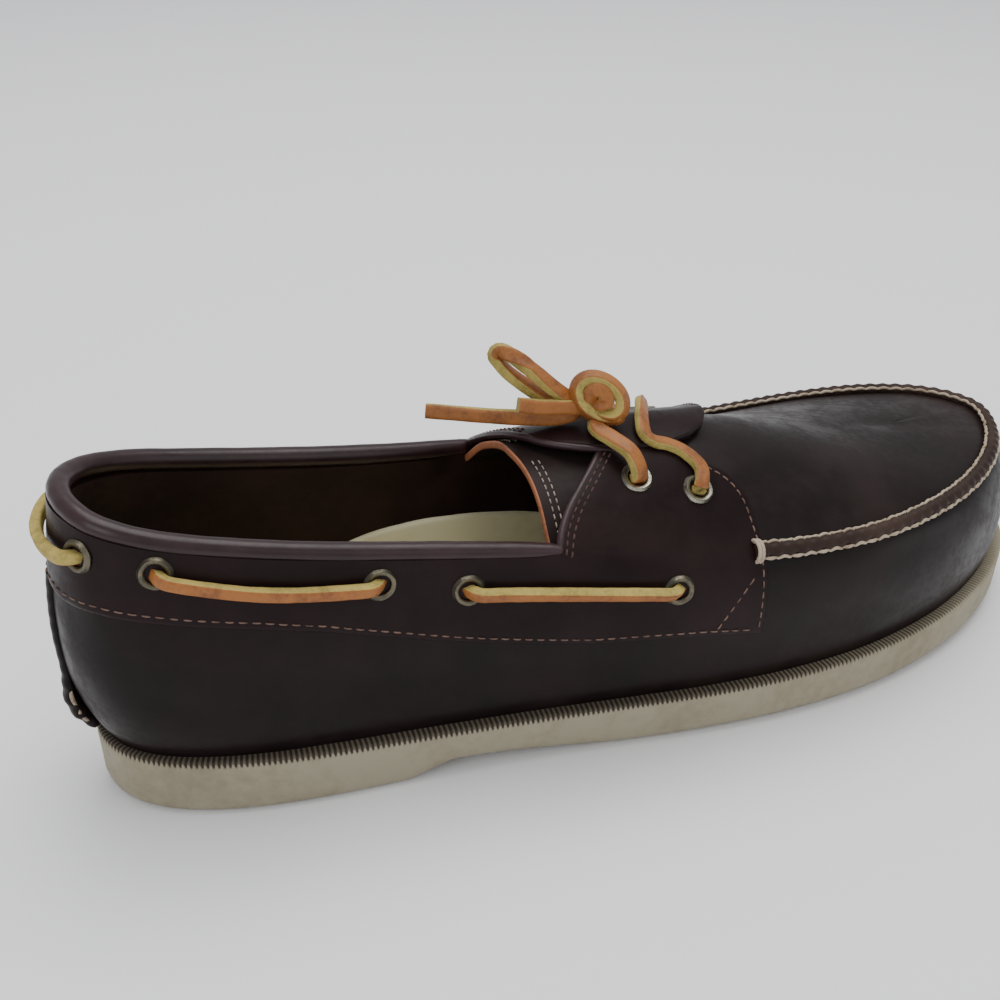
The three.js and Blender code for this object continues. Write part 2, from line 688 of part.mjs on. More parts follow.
addPiece("outsole", outsoleGeometry(), "rubber");
addPiece("insole", insoleGeometry(), "insole");
addPiece("upper", upperGeometry(seats), "leather");
addPiece("tongue", tongueGeometry(), "leather");
for (const entry of seats) addPiece(entry.name, eyeletGeometry(entry), "brass");

const heelBarShape = { steps: 10, lead: 0.2, sag: 1 };
const heelBar = sideBarGeometry(seat("lateral_heel"), pastHeel(seat("medial_heel")), heelBarShape);
addPiece("lace_bar_heel", heelBar, "rawhide");
for (const side of ["lateral", "medial"]) {
  const rear = [seat(`${side}_rear_back`), seat(`${side}_rear_front`)];
  const front = [seat(`${side}_front_back`), seat(`${side}_front_front`)];
  addPiece(`lace_bar_${side}_rear`, sideBarGeometry(...rear, { steps: 8, lead: 0.12, sag: 2.5 }), "rawhide");
  addPiece(`lace_bar_${side}_front`, sideBarGeometry(...front, { steps: 8, lead: 0.12, sag: 0 }), "rawhide");
}
const throatBar = throatBarGeometry(seat("lateral_saddle_front"), seat("medial_saddle_front"));
addPiece("lace_bar_throat", throatBar, "rawhide");

addPiece("lace_knot", knotGeometry(), "rawhide");
addPiece("lace_rise_lateral", riseGeometry(seat("lateral_saddle_back"), NEAR_RISE_ROUTE), "rawhide");
addPiece("lace_rise_medial", riseGeometry(seat("medial_saddle_back"), FAR_RISE_ROUTE), "rawhide");
addPiece("lace_loop", cordGeometry(LOOP_ROUTE, 2), "rawhide");
addPiece("lace_end_short", cordGeometry(SHORT_END_ROUTE), "rawhide");
addPiece("lace_end_long", cordGeometry(LONG_END_ROUTE), "rawhide");

export default shoe;
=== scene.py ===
"""A right-foot leather boat shoe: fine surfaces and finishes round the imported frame.

Shapes are worked out in millimetres on a foot form (the last) and written in metres.
+X runs heel to toe, +Y to the inner side of the foot, +Z up, ground at z = 0.
"""

import logging
import math
from dataclasses import dataclass
from enum import Enum
from typing import Sequence

import bpy
import numpy as np
from mathutils import Matrix, Vector


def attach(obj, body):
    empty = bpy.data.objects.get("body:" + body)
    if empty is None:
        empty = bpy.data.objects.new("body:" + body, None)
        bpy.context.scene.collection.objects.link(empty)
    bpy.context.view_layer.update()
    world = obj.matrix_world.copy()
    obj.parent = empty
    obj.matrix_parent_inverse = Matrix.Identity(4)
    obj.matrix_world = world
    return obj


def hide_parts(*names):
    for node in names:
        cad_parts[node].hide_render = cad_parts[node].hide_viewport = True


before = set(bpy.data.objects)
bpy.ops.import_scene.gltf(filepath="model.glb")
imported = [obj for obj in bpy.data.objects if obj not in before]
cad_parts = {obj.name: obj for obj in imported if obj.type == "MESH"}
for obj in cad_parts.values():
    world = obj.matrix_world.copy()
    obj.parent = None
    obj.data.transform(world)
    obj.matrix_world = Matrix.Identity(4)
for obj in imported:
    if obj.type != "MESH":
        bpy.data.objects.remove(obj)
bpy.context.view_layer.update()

logging.basicConfig(level=logging.INFO, format="%(message)s")
LOG = logging.getLogger("boat_shoe")

MM = 0.001
LAST_STATION = 18
RING = 2 * LAST_STATION
BODY = "root"

Array = np.ndarray
Rgb = tuple[float, float, float]


class Side(Enum):
    """Outer or inner side of the foot."""

    LATERAL = "lateral"
    MEDIAL = "medial"

    def ring(self, station: Array | float) -> Array | float:
        """Ring position of a station on this side."""
        return station if self is Side.LATERAL else RING - station


# ---------------------------------------------------------------- the last

# One row for each station from the heel's back (0) to the toe's tip (18): outline of the sole
# and rim line on the lateral (L) and medial (M) side, then the wall's inset, belly and tuck.
STATION_COLUMNS = ("soleXL", "soleYL", "soleXM", "soleYM", "soleTop", "rimXL", "rimYL", "rimXM",
                   "rimYM", "rimZ", "inset", "belly", "bellyUp", "tuck", "tuckUp")
STATION_ROWS = np.array([
    [-144, -2, -144, -2, 17.5, -146.5, -3, -146.5, -3, 88, 1.5, 12.5, 0.34, 2.5, 0.35],
    [-141.3, -12.3, -141.3, 8.3, 17.5, -145, -13, -143.8, 6.5, 87.3, 1.5, 12.5, 0.34, 2.5, 0.35],
    [-134.2, -20.8, -134.2, 17.3, 17.5, -139.3, -21.8, -136.8, 14.5, 85.5, 1.8, 12, 0.34, 2.5, 0.35],
    [-122.5, -27.3, -122.5, 24.5, 17.3, -127.3, -27.8, -125, 20.6, 82.2, 2.2, 10, 0.36, 2.3, 0.35],
    [-107, -31.8, -107, 28.8, 16.9, -109.5, -31, -109, 24, 78, 2.6, 8, 0.38, 2.2, 0.35],
    [-89, -34.4, -89, 30, 16.3, -90, -33.2, -90, 25.5, 74, 3, 6.5, 0.4, 2.2, 0.35],
    [-70, -36, -70, 28.6, 15.7, -70, -35, -70, 26, 70.5, 3, 5.5, 0.42, 2.2, 0.35],
    [-50, -38, -50, 26.8, 15.2, -50, -37.2, -50, 26.5, 67.5, 3, 5, 0.42, 2.3, 0.35],
    [-30, -40.4, -30, 27, 14.8, -30, -39.8, -29, 27.5, 64.8, 3, 5, 0.42, 3, 0.3],
    [-8, -43.8, -7.5, 30.5, 14.6, -8, -43, -7.5, 29, 61.8, 3, 5, 0.43, 5, 0.2],
    [15, -47.2, 16, 36.5, 14.5, 14.5, -45, 15.5, 31, 58.8, 3, 4.5, 0.44, 7, 0.13],
    [39, -49, 42, 44, 14.5, 39, -45.5, 41, 34.5, 55.6, 3, 4, 0.45, 8, 0.1],
    [64, -48, 69, 48.8, 14.6, 64, -43.8, 67, 37.5, 54, 3, 4, 0.45, 8, 0.1],
    [87, -43.4, 93.5, 50.2, 14.8, 87, -38, 90.5, 38, 53.6, 3, 4, 0.45, 8, 0.1],
    [107, -36.2, 116, 47.8, 15.1, 106, -29.4, 111, 35.4, 53.6, 3, 3.8, 0.45, 8, 0.1],
    [125.8, -25.6, 135.2, 41, 15.6, 120.4, -19.3, 125.4, 29.4, 53.9, 3, 3.5, 0.45, 8, 0.1],
    [139.8, -13.6, 146.2, 31.4, 16.1, 130.2, -9.2, 133.6, 22.2, 54.2, 3, 3, 0.45, 7.5, 0.1],
    [148.2, -1.6, 150.4, 21, 16.5, 136.4, 0.6, 137.6, 15.2, 54.4, 3, 2.8, 0.45, 7, 0.1],
    [151, 10, 151, 10, 16.6, 138.8, 8.2, 138.8, 8.2, 54.5, 3, 2.8, 0.45, 7, 0.1],
])

# The ridge along the top of the foot (x, y, z) from station 7 forward.
FIRST_CROWN_STATION = 7
CROWN_ROWS = np.array([
    [-52, -5.5, 79.5], [-30, -6.5, 80.8], [-8, -7.5, 82.3], [15, -7.5, 80.6], [36, -6, 75.8],
    [54, -4.3, 70.3], [68.5, -2.8, 65.8], [80, -1.4, 62.8], [88.5, -0.3, 61], [94.5, 0.5, 60],
    [98.5, 1.1, 59.4], [100, 1.4, 59.2],
])


def catmull_rom(before: Array, start: Array, end: Array, after: Array, share: Array) -> Array:
    """Smooth value between start and end: the cubic whose slopes are half the neighbours' gap."""
    linear = end - before
    square = 2 * before - 5 * start + 4 * end - after
    cube = 3 * start - before - 3 * end + after
    return 0.5 * (2 * start + linear * share + square * share**2 + cube * share**3)


def smoothstep(value: Array | float, low: float, high: float) -> Array:
    """0 below low, 1 above high, and 3t^2 - 2t^3 between."""
    t = np.clip((np.asarray(value, float) - low) / (high - low), 0, 1)
    return t * t * (3 - 2 * t)


def bump(value: Array, centre: float, width: float) -> Array:
    """A bell of height 1 round centre: exp(-((x - centre) / width)^2)."""
    return np.exp(-(((value - centre) / width) ** 2))


def unit(vectors: Array) -> Array:
    """Vectors scaled to length 1."""
    return vectors / np.maximum(np.linalg.norm(vectors, axis=-1, keepdims=True), 1e-9)


class Last:
    """The foot form. q runs round the shoe (0 to 18 lateral, on to 36 medial), v up the wall.

    v is 0 at the sole, 1 at the rim line (collar, and in front the moccasin seam) and 2 at
    the ridge along the top of the foot.
    """

    GAP = 0.3

    def __init__(self) -> None:
        """Turns each column of the table into a closed ring."""
        col = {name: STATION_ROWS[:, i] for i, name in enumerate(STATION_COLUMNS)}
        pairs = {"soleX": ("soleXL", "soleXM"), "soleY": ("soleYL", "soleYM"),
                 "rimX": ("rimXL", "rimXM"), "rimY": ("rimYL", "rimYM")}
        for name in ("soleTop", "rimZ", "inset", "belly", "bellyUp", "tuck", "tuckUp"):
            pairs[name] = (name, name)
        self.rings = {name: np.concatenate([col[a], col[b][-2:0:-1]]) for name, (a, b) in pairs.items()}

    def value(self, name: str, q: Array) -> Array:
        """Smooth value of a ring column: a Catmull-Rom spline through its rows."""
        wrapped = np.mod(q, RING)
        i = np.floor(wrapped).astype(int)
        ring = self.rings[name]
        at = [ring[(i + n) % RING] for n in (-1, 0, 1, 2)]
        return catmull_rom(*at, wrapped - i)

    @staticmethod
    def station(q: Array) -> Array:
        """Station, 0 at the heel and 18 at the toe, of a ring position."""
        wrapped = np.mod(q, RING)
        return np.where(wrapped <= LAST_STATION, wrapped, RING - wrapped)

    @staticmethod
    def inner(q: Array) -> Array:
        """Whether a ring position is on the inner side."""
        return np.mod(q, RING) > LAST_STATION

    @staticmethod
    def ring_over(station: Array, across: Array) -> Array:
        """Ring position of a station, on the outer side where across is 0 or less."""
        return np.where(across <= 0, station, RING - station)

    @staticmethod
    def crown(station: Array) -> Array:
        """Point of the ridge: a Catmull-Rom spline through its rows."""
        end = len(CROWN_ROWS) - 1
        k = np.clip(np.asarray(station, float) - FIRST_CROWN_STATION, 0, end)
        i = np.minimum(np.floor(k).astype(int), end - 1)
        at = [CROWN_ROWS[np.where(i + n > end, end - 1, np.maximum(i + n, 0))] for n in (-1, 0, 1, 2)]
        return catmull_rom(*at, (k - i)[..., None])

    def plan_normal(self, q: Array) -> Array:
        """Outward direction of the sole's outline in plan: its tangent turned by a right angle."""
        step = 0.01
        dx = self.value("soleX", q + step) - self.value("soleX", q - step)
        dy = self.value("soleY", q + step) - self.value("soleY", q - step)
        return unit(np.stack([dy, -dx, np.zeros_like(dx)], -1))

    def outline(self, q: Array, inset: Array | float, z: Array | float) -> Array:
        """Outline of the sole in plan, moved in by inset, at height z."""
        x, y = self.value("soleX", q), self.value("soleY", q)
        edge = np.stack([x, y, np.broadcast_to(z, x.shape)], -1)
        return edge - self.plan_normal(q) * np.broadcast_to(inset, x.shape)[..., None]

    def rim(self, q: Array) -> Array:
        """The rim line."""
        return np.stack([self.value(name, q) for name in ("rimX", "rimY", "rimZ")], -1)

    def point(self, q: Array, v: Array) -> Array:
        """Outer face. The wall is a cubic Bezier from foot to rim; the vamp an arch to the ridge.

        Past v = 2 it goes on down the other side.
        """
        q, v = np.broadcast_arrays(np.asarray(q, float), np.asarray(v, float))
        q, v = np.where(v > 2, -q, q), np.where(v > 2, 4 - v, v)
        rim, out = self.rim(q), self.plan_normal(q)
        station = self.station(q)
        share = np.clip(v - 1, 0, 1)[..., None]
        vamp = np.where(self.inner(q), 1.5 - 0.25 * smoothstep(station, 9.6, 11), 2.0)
        power = (vamp + (1.3 - vamp) * smoothstep(station, 12, 17.5))[..., None]
        gap = self.crown(station) - rim
        arch = rim + gap * np.concatenate([share, share, 1 - (1 - share) ** power], -1)
        foot = self.outline(q, self.value("inset", q), self.value("soleTop", q) + self.GAP)
        rise = np.zeros_like(rim)
        rise[..., 2] = (rim - foot)[..., 2]
        low = foot + out * self.value("belly", q)[..., None] + rise * self.value("bellyUp", q)[..., None]
        high = rim + out * self.value("tuck", q)[..., None] - rise * self.value("tuckUp", q)[..., None]
        t = np.clip(v, 0, 1)[..., None]
        wall = foot * (1 - t) ** 3 + 3 * low * t * (1 - t) ** 2 + 3 * high * t * t * (1 - t) + rim * t**3
        return np.where((v > 1)[..., None], arch, wall)

    def normal(self, q: Array, v: Array) -> Array:
        """Outward normal: the cross product of the steps along q and v, or the ridge's own."""
        q, v = np.broadcast_arrays(np.asarray(q, float), np.asarray(v, float))
        across = self.point(q + 0.03, v) - self.point(q - 0.03, v)
        low, high = np.where(v <= 1, 0.0, 1.0), np.where(v <= 1, 1.0, 3.0)
        up = self.point(q, np.minimum(v + 0.01, high)) - self.point(q, np.maximum(v - 0.01, low))
        station = np.minimum(self.station(q), LAST_STATION - 0.2)
        run = self.crown(station + 0.1) - self.crown(station - 0.1)
        ridge = np.stack([-run[..., 2], 0 * run[..., 2], run[..., 0]], -1)
        blend = (smoothstep(v, 1.85, 1.98) * (1 - smoothstep(v, 2.02, 2.15)))[..., None]
        return unit(unit(np.cross(across, up)) * (1 - blend) + unit(ridge) * blend)

    def offset(self, q: Array, v: Array, height: Array | float) -> Array:
        """Point at a height over the outer face."""
        q, v = np.broadcast_arrays(np.asarray(q, float), np.asarray(v, float))
        height = np.broadcast_to(height, q.shape)
        return self.point(q, v) + self.normal(q, v) * height[..., None]

    def level(self, q: float, z: float) -> float:
        """Wall position v whose height is z, read off a fine row of points."""
        v = np.linspace(0.2, 1, 400)
        return float(np.interp(z, self.point(np.full(400, float(q)), v)[:, 2], v))


LAST = Last()


# ---------------------------------------------------------------- meshes

def add_mesh(name: str, vertices: Array, faces: Array | list, material: bpy.types.Material,
             sharp: float = 40.0) -> bpy.types.Object:
    """Makes a piece from vertices in millimetres and rides it on the shoe.

    Args:
        name: the piece's name.
        vertices: array of points.
        faces: array or list of vertex indices of each face.
        material: its finish.
        sharp: angle in degrees past which an edge stays sharp.

    Returns:
        The new object.
    """
    mesh = bpy.data.meshes.new(name)
    faces = faces.tolist() if isinstance(faces, np.ndarray) else faces
    mesh.from_pydata((np.asarray(vertices) * MM).tolist(), [], faces)
    mesh.validate()
    mesh.polygons.foreach_set("use_smooth", np.ones(len(mesh.polygons), bool))
    mesh.set_sharp_from_angle(angle=math.radians(sharp))
    mesh.materials.append(material)
    obj = bpy.data.objects.new(name, mesh)
    bpy.context.collection.objects.link(obj)
    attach(obj, BODY)
    LOG.info("%s: %d faces", name, len(mesh.polygons))
    return obj


def grid_faces(rows: int, columns: int, closed_rows: bool = False, closed_columns: bool = False) -> Array:
    """Quads of a grid whose vertices are numbered row by row."""
    i = np.arange(rows if closed_rows else rows - 1)[:, None]
    j = np.arange(columns if closed_columns else columns - 1)[None, :]
    i2, j2 = (i + 1) % rows, (j + 1) % columns
    quads = [i * columns + j, i2 * columns + j, i2 * columns + j2, i * columns + j2]
    return np.stack([np.broadcast_to(q, (i.size, j.size)) for q in quads], -1).reshape(-1, 4)


def shell(top: Array, bottom: Array, closed_rows: bool = False) -> tuple[Array, Array]:
    """Closes two grids of points of the same shape into one body, with walls along the borders.

    Args:
        top: outer grid (rows, columns, 3), whose faces look outwards.
        bottom: inner grid.
        closed_rows: whether the last row joins the first.

    Returns:
        Vertices and faces.
    """
    rows, columns = top.shape[:2]
    count = rows * columns
    index = np.arange(count).reshape(rows, columns)
    upper = grid_faces(rows, columns, closed_rows)
    parts = [upper, upper[:, ::-1] + count]
    around = np.append(np.arange(rows), 0) if closed_rows else np.arange(rows)
    borders = [index[around[::-1], 0], index[around, -1]]
    if not closed_rows:
        borders += [index[0, :], index[-1, ::-1]]
    for line in borders:
        a, b = line[:-1], line[1:]
        parts.append(np.stack([b, a, a + count, b + count], -1))
    return np.concatenate([top.reshape(-1, 3), bottom.reshape(-1, 3)]), np.concatenate(parts)


def edge_spacing(count: int, steps: Sequence[float] = (0.012, 0.03, 0.06)) -> Array:
    """Shares from 0 to 1 with a few close lines at each end, for a rounded edge."""
    ends = np.array([0.0, *steps])
    return np.concatenate([ends, np.linspace(ends[-1], 1 - ends[-1], count)[1:-1], 1 - ends[::-1]])


def rounded(distance: Array, radius: float) -> Array:
    """Quarter-round profile: 0 at the edge, 1 from radius inwards."""
    t = np.clip(distance / radius, 0, 1)
    return np.sqrt(np.clip(1 - (1 - t) ** 2, 0, 1))


def spline(points: Sequence[Sequence[float]], steps: int) -> Array:
    """Smooth path through points: Catmull-Rom pieces with the end points repeated."""
    p = np.asarray(points, float)
    p = np.concatenate([[2 * p[0] - p[1]], p, [2 * p[-1] - p[-2]]])
    t = np.arange((len(p) - 3) * steps + 1) / steps
    i = np.minimum(t.astype(int), len(p) - 4)
    return catmull_rom(p[i], p[i + 1], p[i + 2], p[i + 3], (t - i)[:, None])


def running_length(path: Array) -> Array:
    """Length along a path at each of its points."""
    return np.concatenate([[0], np.cumsum(np.linalg.norm(np.diff(path, axis=0), axis=1))])


def values_at(want: Array, along: Array, values: Array) -> Array:
    """Rows of values at the wanted lengths along a path, by straight-line interpolation."""
    return np.stack([np.interp(want, along, values[:, i]) for i in range(values.shape[1])], -1)


def even(path: Array, step: float) -> Array:
    """The same path with points an even step apart."""
    along = running_length(path)
    want = np.linspace(0, along[-1], max(2, int(round(along[-1] / step)) + 1))
    return values_at(want, along, path)


def circle(count: int) -> Array:
    """Points of a unit circle at even angles."""
    angle = 2 * np.pi * np.arange(count) / count
    return np.stack([np.cos(angle), np.sin(angle)], -1)


def frames(path: Array, up: Array) -> tuple[Array, Array, Array]:
    """Tangent, side and up directions along a path, with up kept near the given direction."""
    tangent = unit(np.gradient(path, axis=0))
    up = unit(up - tangent * np.sum(up * tangent, -1, keepdims=True))
    return tangent, np.cross(tangent, up), up


def sweep(path: Array, up: Array, section: Array) -> tuple[Array, Array]:
    """Carries a closed section (side, up) along a path and closes both ends with fans.

    Args:
        path: points (n, 3).
        up: up directions (n, 3) or (3,).
        section: (m, 2) for a constant section, or (n, m, 2).

    Returns:
        Vertices and faces, looking outwards.
    """
    _, side, lift = frames(path, np.broadcast_to(up, path.shape))
    section = np.broadcast_to(section, (len(path), *section.shape[-2:]))
    rings = path[:, None] + side[:, None] * section[..., :1] + lift[:, None] * section[..., 1:]
    rows, columns = rings.shape[:2]
    faces = grid_faces(rows, columns, closed_columns=True)[:, ::-1]
    first, last = rows * columns, rows * columns + 1
    j = np.arange(columns)
    nxt = (j + 1) % columns
    start = np.stack([np.full(columns, first), j, nxt], -1)
    end = np.stack([np.full(columns, last), (rows - 1) * columns + nxt, (rows - 1) * columns + j], -1)
    vertices = np.concatenate([rings.reshape(-1, 3), path[:1], path[-1:]])
    return vertices, [*faces.tolist(), *start.tolist(), *end.tolist()]


def join(parts: Sequence[tuple[Array, Array | list]]) -> tuple[Array, list]:
    """Several bodies as one list of vertices and faces."""
    vertices, faces, base = [], [], 0
    for points, quads in parts:
        vertices.append(points)
        faces += [[i + base for i in face] for face in quads]
        base += len(points)
    return np.concatenate(vertices), faces


# ---------------------------------------------------------------- finishes

def linear(red: int, green: int, blue: int) -> Rgb:
    """A screen colour of 0 to 255 as linear light."""
    share = np.array([red, green, blue]) / 255
    return tuple(np.where(share <= 0.04045, share / 12.92, ((share + 0.055) / 1.055) ** 2.4).tolist())


class Nodes:
    """Adds nodes to a tree and links them."""

    def __init__(self, tree: bpy.types.NodeTree) -> None:
        """Keeps the tree."""
        self.tree = tree

    def add(self, kind: str, inputs: dict[str | int, object] | None = None, **settings: object) -> bpy.types.Node:
        """Adds a node, sets its properties, and fills or links its inputs."""
        node = self.tree.nodes.new(kind)
        for key, value in settings.items():
            setattr(node, key, value)
        for key, value in (inputs or {}).items():
            if isinstance(value, bpy.types.NodeSocket):
                self.tree.links.new(value, node.inputs[key])
            else:
                node.inputs[key].default_value = value
        return node

    def math(self, operation: str, first: object, second: object = 0.0, clamp: bool = False) -> bpy.types.NodeSocket:
        """One Math node's value."""
        node = self.add("ShaderNodeMath", {0: first, 1: second}, operation=operation, use_clamp=clamp)
        return node.outputs[0]

    def ramp(self, value: object, low: float, high: float, out_low: float = 0.0,
             out_high: float = 1.0) -> bpy.types.NodeSocket:
        """Value mapped smoothly from one range to another."""
        inputs = {"Value": value, "From Min": low, "From Max": high, "To Min": out_low, "To Max": out_high}
        node = self.add("ShaderNodeMapRange", inputs, interpolation_type="SMOOTHSTEP")
        return node.outputs["Result"]

    def mix(self, share: object, first: object, second: object) -> bpy.types.NodeSocket:
        """Colour between two colours, each a socket or plain linear light."""
        first, second = ((*colour, 1) if isinstance(colour, tuple) else colour for colour in (first, second))
        node = self.add("ShaderNodeMix", {0: share, 6: first, 7: second}, data_type="RGBA")
        return node.outputs[2]

    def noise(self, vector: object, scale: object, detail: float = 3.0, rough: float = 0.55) -> bpy.types.NodeSocket:
        """Noise value round a half."""
        inputs = {"Vector": vector, "Scale": scale, "Detail": detail, "Roughness": rough}
        return self.add("ShaderNodeTexNoise", inputs).outputs["Fac"]


def group(name: str, inputs: dict[str, float | None],
          outputs: Sequence[str]) -> tuple[bpy.types.NodeTree, Nodes, dict]:
    """A new shader node group. An input of None is a vector, any other is a number.

    Returns:
        The tree, its Nodes helper, and its input sockets by name.
    """
    tree = bpy.data.node_groups.new(name, "ShaderNodeTree")
    for key, value in inputs.items():
        kind = "NodeSocketVector" if value is None else "NodeSocketFloat"
        socket = tree.interface.new_socket(key, in_out="INPUT", socket_type=kind)
        if value is not None:
            socket.default_value = value
    for key in outputs:
        tree.interface.new_socket(key, in_out="OUTPUT", socket_type="NodeSocketFloat")
    nodes = Nodes(tree)
    entry = nodes.add("NodeGroupInput")
    return tree, nodes, {key: entry.outputs[key] for key in inputs}


def leather_group() -> bpy.types.NodeTree:
    """Grained hide: pore height, tone patches of the waxed surface, and gloss patches."""
    tree, n, given = group("hide_grain", {"Vector": None, "Pore Scale": 900.0, "Patch Scale": 30.0},
                           ("Height", "Tone", "Gloss"))
    cells = n.add("ShaderNodeTexVoronoi", {"Vector": given["Vector"], "Scale": given["Pore Scale"]},
                  feature="SMOOTH_F1")
    fine = n.noise(given["Vector"], n.math("MULTIPLY", given["Pore Scale"], 0.45), 4.0)
    soft = n.noise(given["Vector"], given["Patch Scale"], 5.0, 0.6)
    streak = n.noise(given["Vector"], n.math("MULTIPLY", given["Patch Scale"], 3.7), 4.0, 0.6)
    height = n.math("ADD", n.math("MULTIPLY", cells.outputs["Distance"], 0.6), n.math("MULTIPLY", fine, 0.5))
    tone = n.ramp(n.math("ADD", n.math("MULTIPLY", soft, 0.7), n.math("MULTIPLY", streak, 0.3)), 0.36, 0.66)
    gloss = n.ramp(n.math("ADD", n.math("MULTIPLY", streak, 0.6), n.math("MULTIPLY", fine, 0.4)), 0.35, 0.65)
    n.add("NodeGroupOutput", {"Height": height, "Tone": tone, "Gloss": gloss})
    return tree


def soil_group() -> bpy.types.NodeTree:
    """Soiling and fine tooth of a matte surface: a blotchy mask and a granular height."""
    tree, n, given = group("soil", {"Vector": None, "Blotch Scale": 40.0, "Tooth Scale": 1500.0},
                           ("Mask", "Height"))
    blotch = n.noise(given["Vector"], given["Blotch Scale"], 6.0, 0.65)
    speck = n.noise(given["Vector"], n.math("MULTIPLY", given["Blotch Scale"], 9.0), 3.0, 0.6)
    mask = n.ramp(n.math("ADD", n.math("MULTIPLY", blotch, 0.7), n.math("MULTIPLY", speck, 0.3)), 0.42, 0.68)
    tooth = n.noise(given["Vector"], given["Tooth Scale"], 3.0, 0.7)
    n.add("NodeGroupOutput", {"Mask": mask, "Height": tooth})
    return tree


HIDE_GRAIN = leather_group()
SOIL = soil_group()


class Finish:
    """A material with a Principled shader and its tree."""

    def __init__(self, name: str, **sockets: object) -> None:
        """Starts the material and sets the shader's plain sockets."""
        self.material = bpy.data.materials.new(name)
        self.material.use_nodes = True
        self.nodes = Nodes(self.material.node_tree)
        self.shader = self.material.node_tree.nodes["Principled BSDF"]
        for key, value in sockets.items():
            self.shader.inputs[key.replace("_", " ")].default_value = value
        self.place = self.nodes.add("ShaderNodeTexCoord").outputs["Object"]

    def link(self, **sockets: bpy.types.NodeSocket) -> None:
        """Links values that change over the surface to the shader."""
        for key, value in sockets.items():
            self.material.node_tree.links.new(value, self.shader.inputs[key.replace("_", " ")])

    def relief(self, height: bpy.types.NodeSocket, depth_mm: float, strength: float = 1.0) -> None:
        """Drives the shader's normal with a height of so many millimetres."""
        inputs = {"Height": height, "Distance": depth_mm * MM, "Strength": strength}
        self.link(Normal=self.nodes.add("ShaderNodeBump", inputs).outputs["Normal"])

    def place_group(self, tree: bpy.types.NodeTree, **inputs: object) -> bpy.types.Node:
        """Places a shared group on the surface's own place."""
        node = self.nodes.add("ShaderNodeGroup", node_tree=tree)
        self.material.node_tree.links.new(self.place, node.inputs["Vector"])
        for key, value in inputs.items():
            node.inputs[key.replace("_", " ")].default_value = value
        return node


@dataclass(frozen=True)
class LeatherFinish:
    """Waxed pull-up leather."""

    name: str
    dark: Rgb
    light: Rgb
    rough_low: float = 0.3
    rough_high: float = 0.46
    coat: float = 0.03
    pore_scale: float = 1100.0
    grain_mm: float = 0.05
    gloss: float = 0.09

    def build(self) -> bpy.types.Material:
        """Tone patches between two browns, patchy gloss and a fine pore relief."""
        f = Finish(self.name, Coat_Weight=self.coat, Coat_Roughness=0.3, Specular_IOR_Level=self.gloss)
        hide = f.place_group(HIDE_GRAIN, Pore_Scale=self.pore_scale, Patch_Scale=26.0)
        colour = f.nodes.mix(hide.outputs["Tone"], self.dark, self.light)
        rough = f.nodes.ramp(hide.outputs["Gloss"], 0, 1, self.rough_low, self.rough_high)
        f.link(Base_Color=colour, Roughness=rough)
        f.relief(hide.outputs["Height"], self.grain_mm, 0.5)
        return f.material


@dataclass(frozen=True)
class MatteFinish:
    """Rubber, footbed board or raw edge: two tones with soiling and a fine tooth, and an optional colour of painted
    shade.
    """

    name: str
    clean: Rgb
    soiled: Rgb
    rough: float = 0.75
    blotch_scale: float = 40.0
    tooth_scale: float = 1500.0
    tooth_mm: float = 0.08
    most_soil: float = 0.7
    # Colour of painted shade, laid where the point attribute groove is high: in the sole's rib grooves and under its
    # top edge.
    groove: Rgb | None = None

    def build(self) -> bpy.types.Material:
        """Soil mask between the two tones and a granular relief, then the groove colour as painted shade where the
        attribute groove is high.
        """
        f = Finish(self.name, Specular_IOR_Level=0.35)
        soil = f.place_group(SOIL, Blotch_Scale=self.blotch_scale, Tooth_Scale=self.tooth_scale)
        share = f.nodes.math("MULTIPLY", soil.outputs["Mask"], self.most_soil)
        rough = f.nodes.ramp(soil.outputs["Mask"], 0, 1, self.rough, min(1.0, self.rough + 0.12))
        colour = f.nodes.mix(share, self.clean, self.soiled)
        # Painted shade: the attribute groove pulls the colour towards the groove colour.
        if self.groove:
            deep = f.nodes.add("ShaderNodeAttribute", attribute_name="groove").outputs["Fac"]
            colour = f.nodes.mix(f.nodes.ramp(deep, 0.25, 0.75), colour, self.groove)
        f.link(Base_Color=colour, Roughness=rough)
        f.relief(soil.outputs["Height"], self.tooth_mm, 0.6)
        return f.material


@dataclass(frozen=True)
class RawhideFinish:
    """Square-cut lace: a smooth tan grain side, napped yellow sides, told apart by an attribute."""

    name: str
    grain: Rgb
    grain_dark: Rgb
    nap: Rgb
    nap_dark: Rgb

    def build(self) -> bpy.types.Material:
        """The attribute grain_side picks the side; noise wears and dirties each."""
        f = Finish(self.name, Specular_IOR_Level=0.4)
        n = f.nodes
        soil = f.place_group(SOIL, Blotch_Scale=120.0, Tooth_Scale=1600.0)
        side = n.add("ShaderNodeAttribute", attribute_name="grain_side").outputs["Fac"]
        ragged = n.math("ADD", side, n.math("MULTIPLY", n.math("SUBTRACT", soil.outputs["Height"], 0.5), 0.7))
        share = n.ramp(ragged, 0.4, 0.6)
        tan = n.mix(soil.outputs["Mask"], self.grain, self.grain_dark)
        suede = n.mix(soil.outputs["Mask"], self.nap, self.nap_dark)
        f.link(Base_Color=n.mix(share, suede, tan), Roughness=n.ramp(share, 0, 1, 0.85, 0.5))
        f.relief(soil.outputs["Height"], 0.1, 0.7)
        return f.material


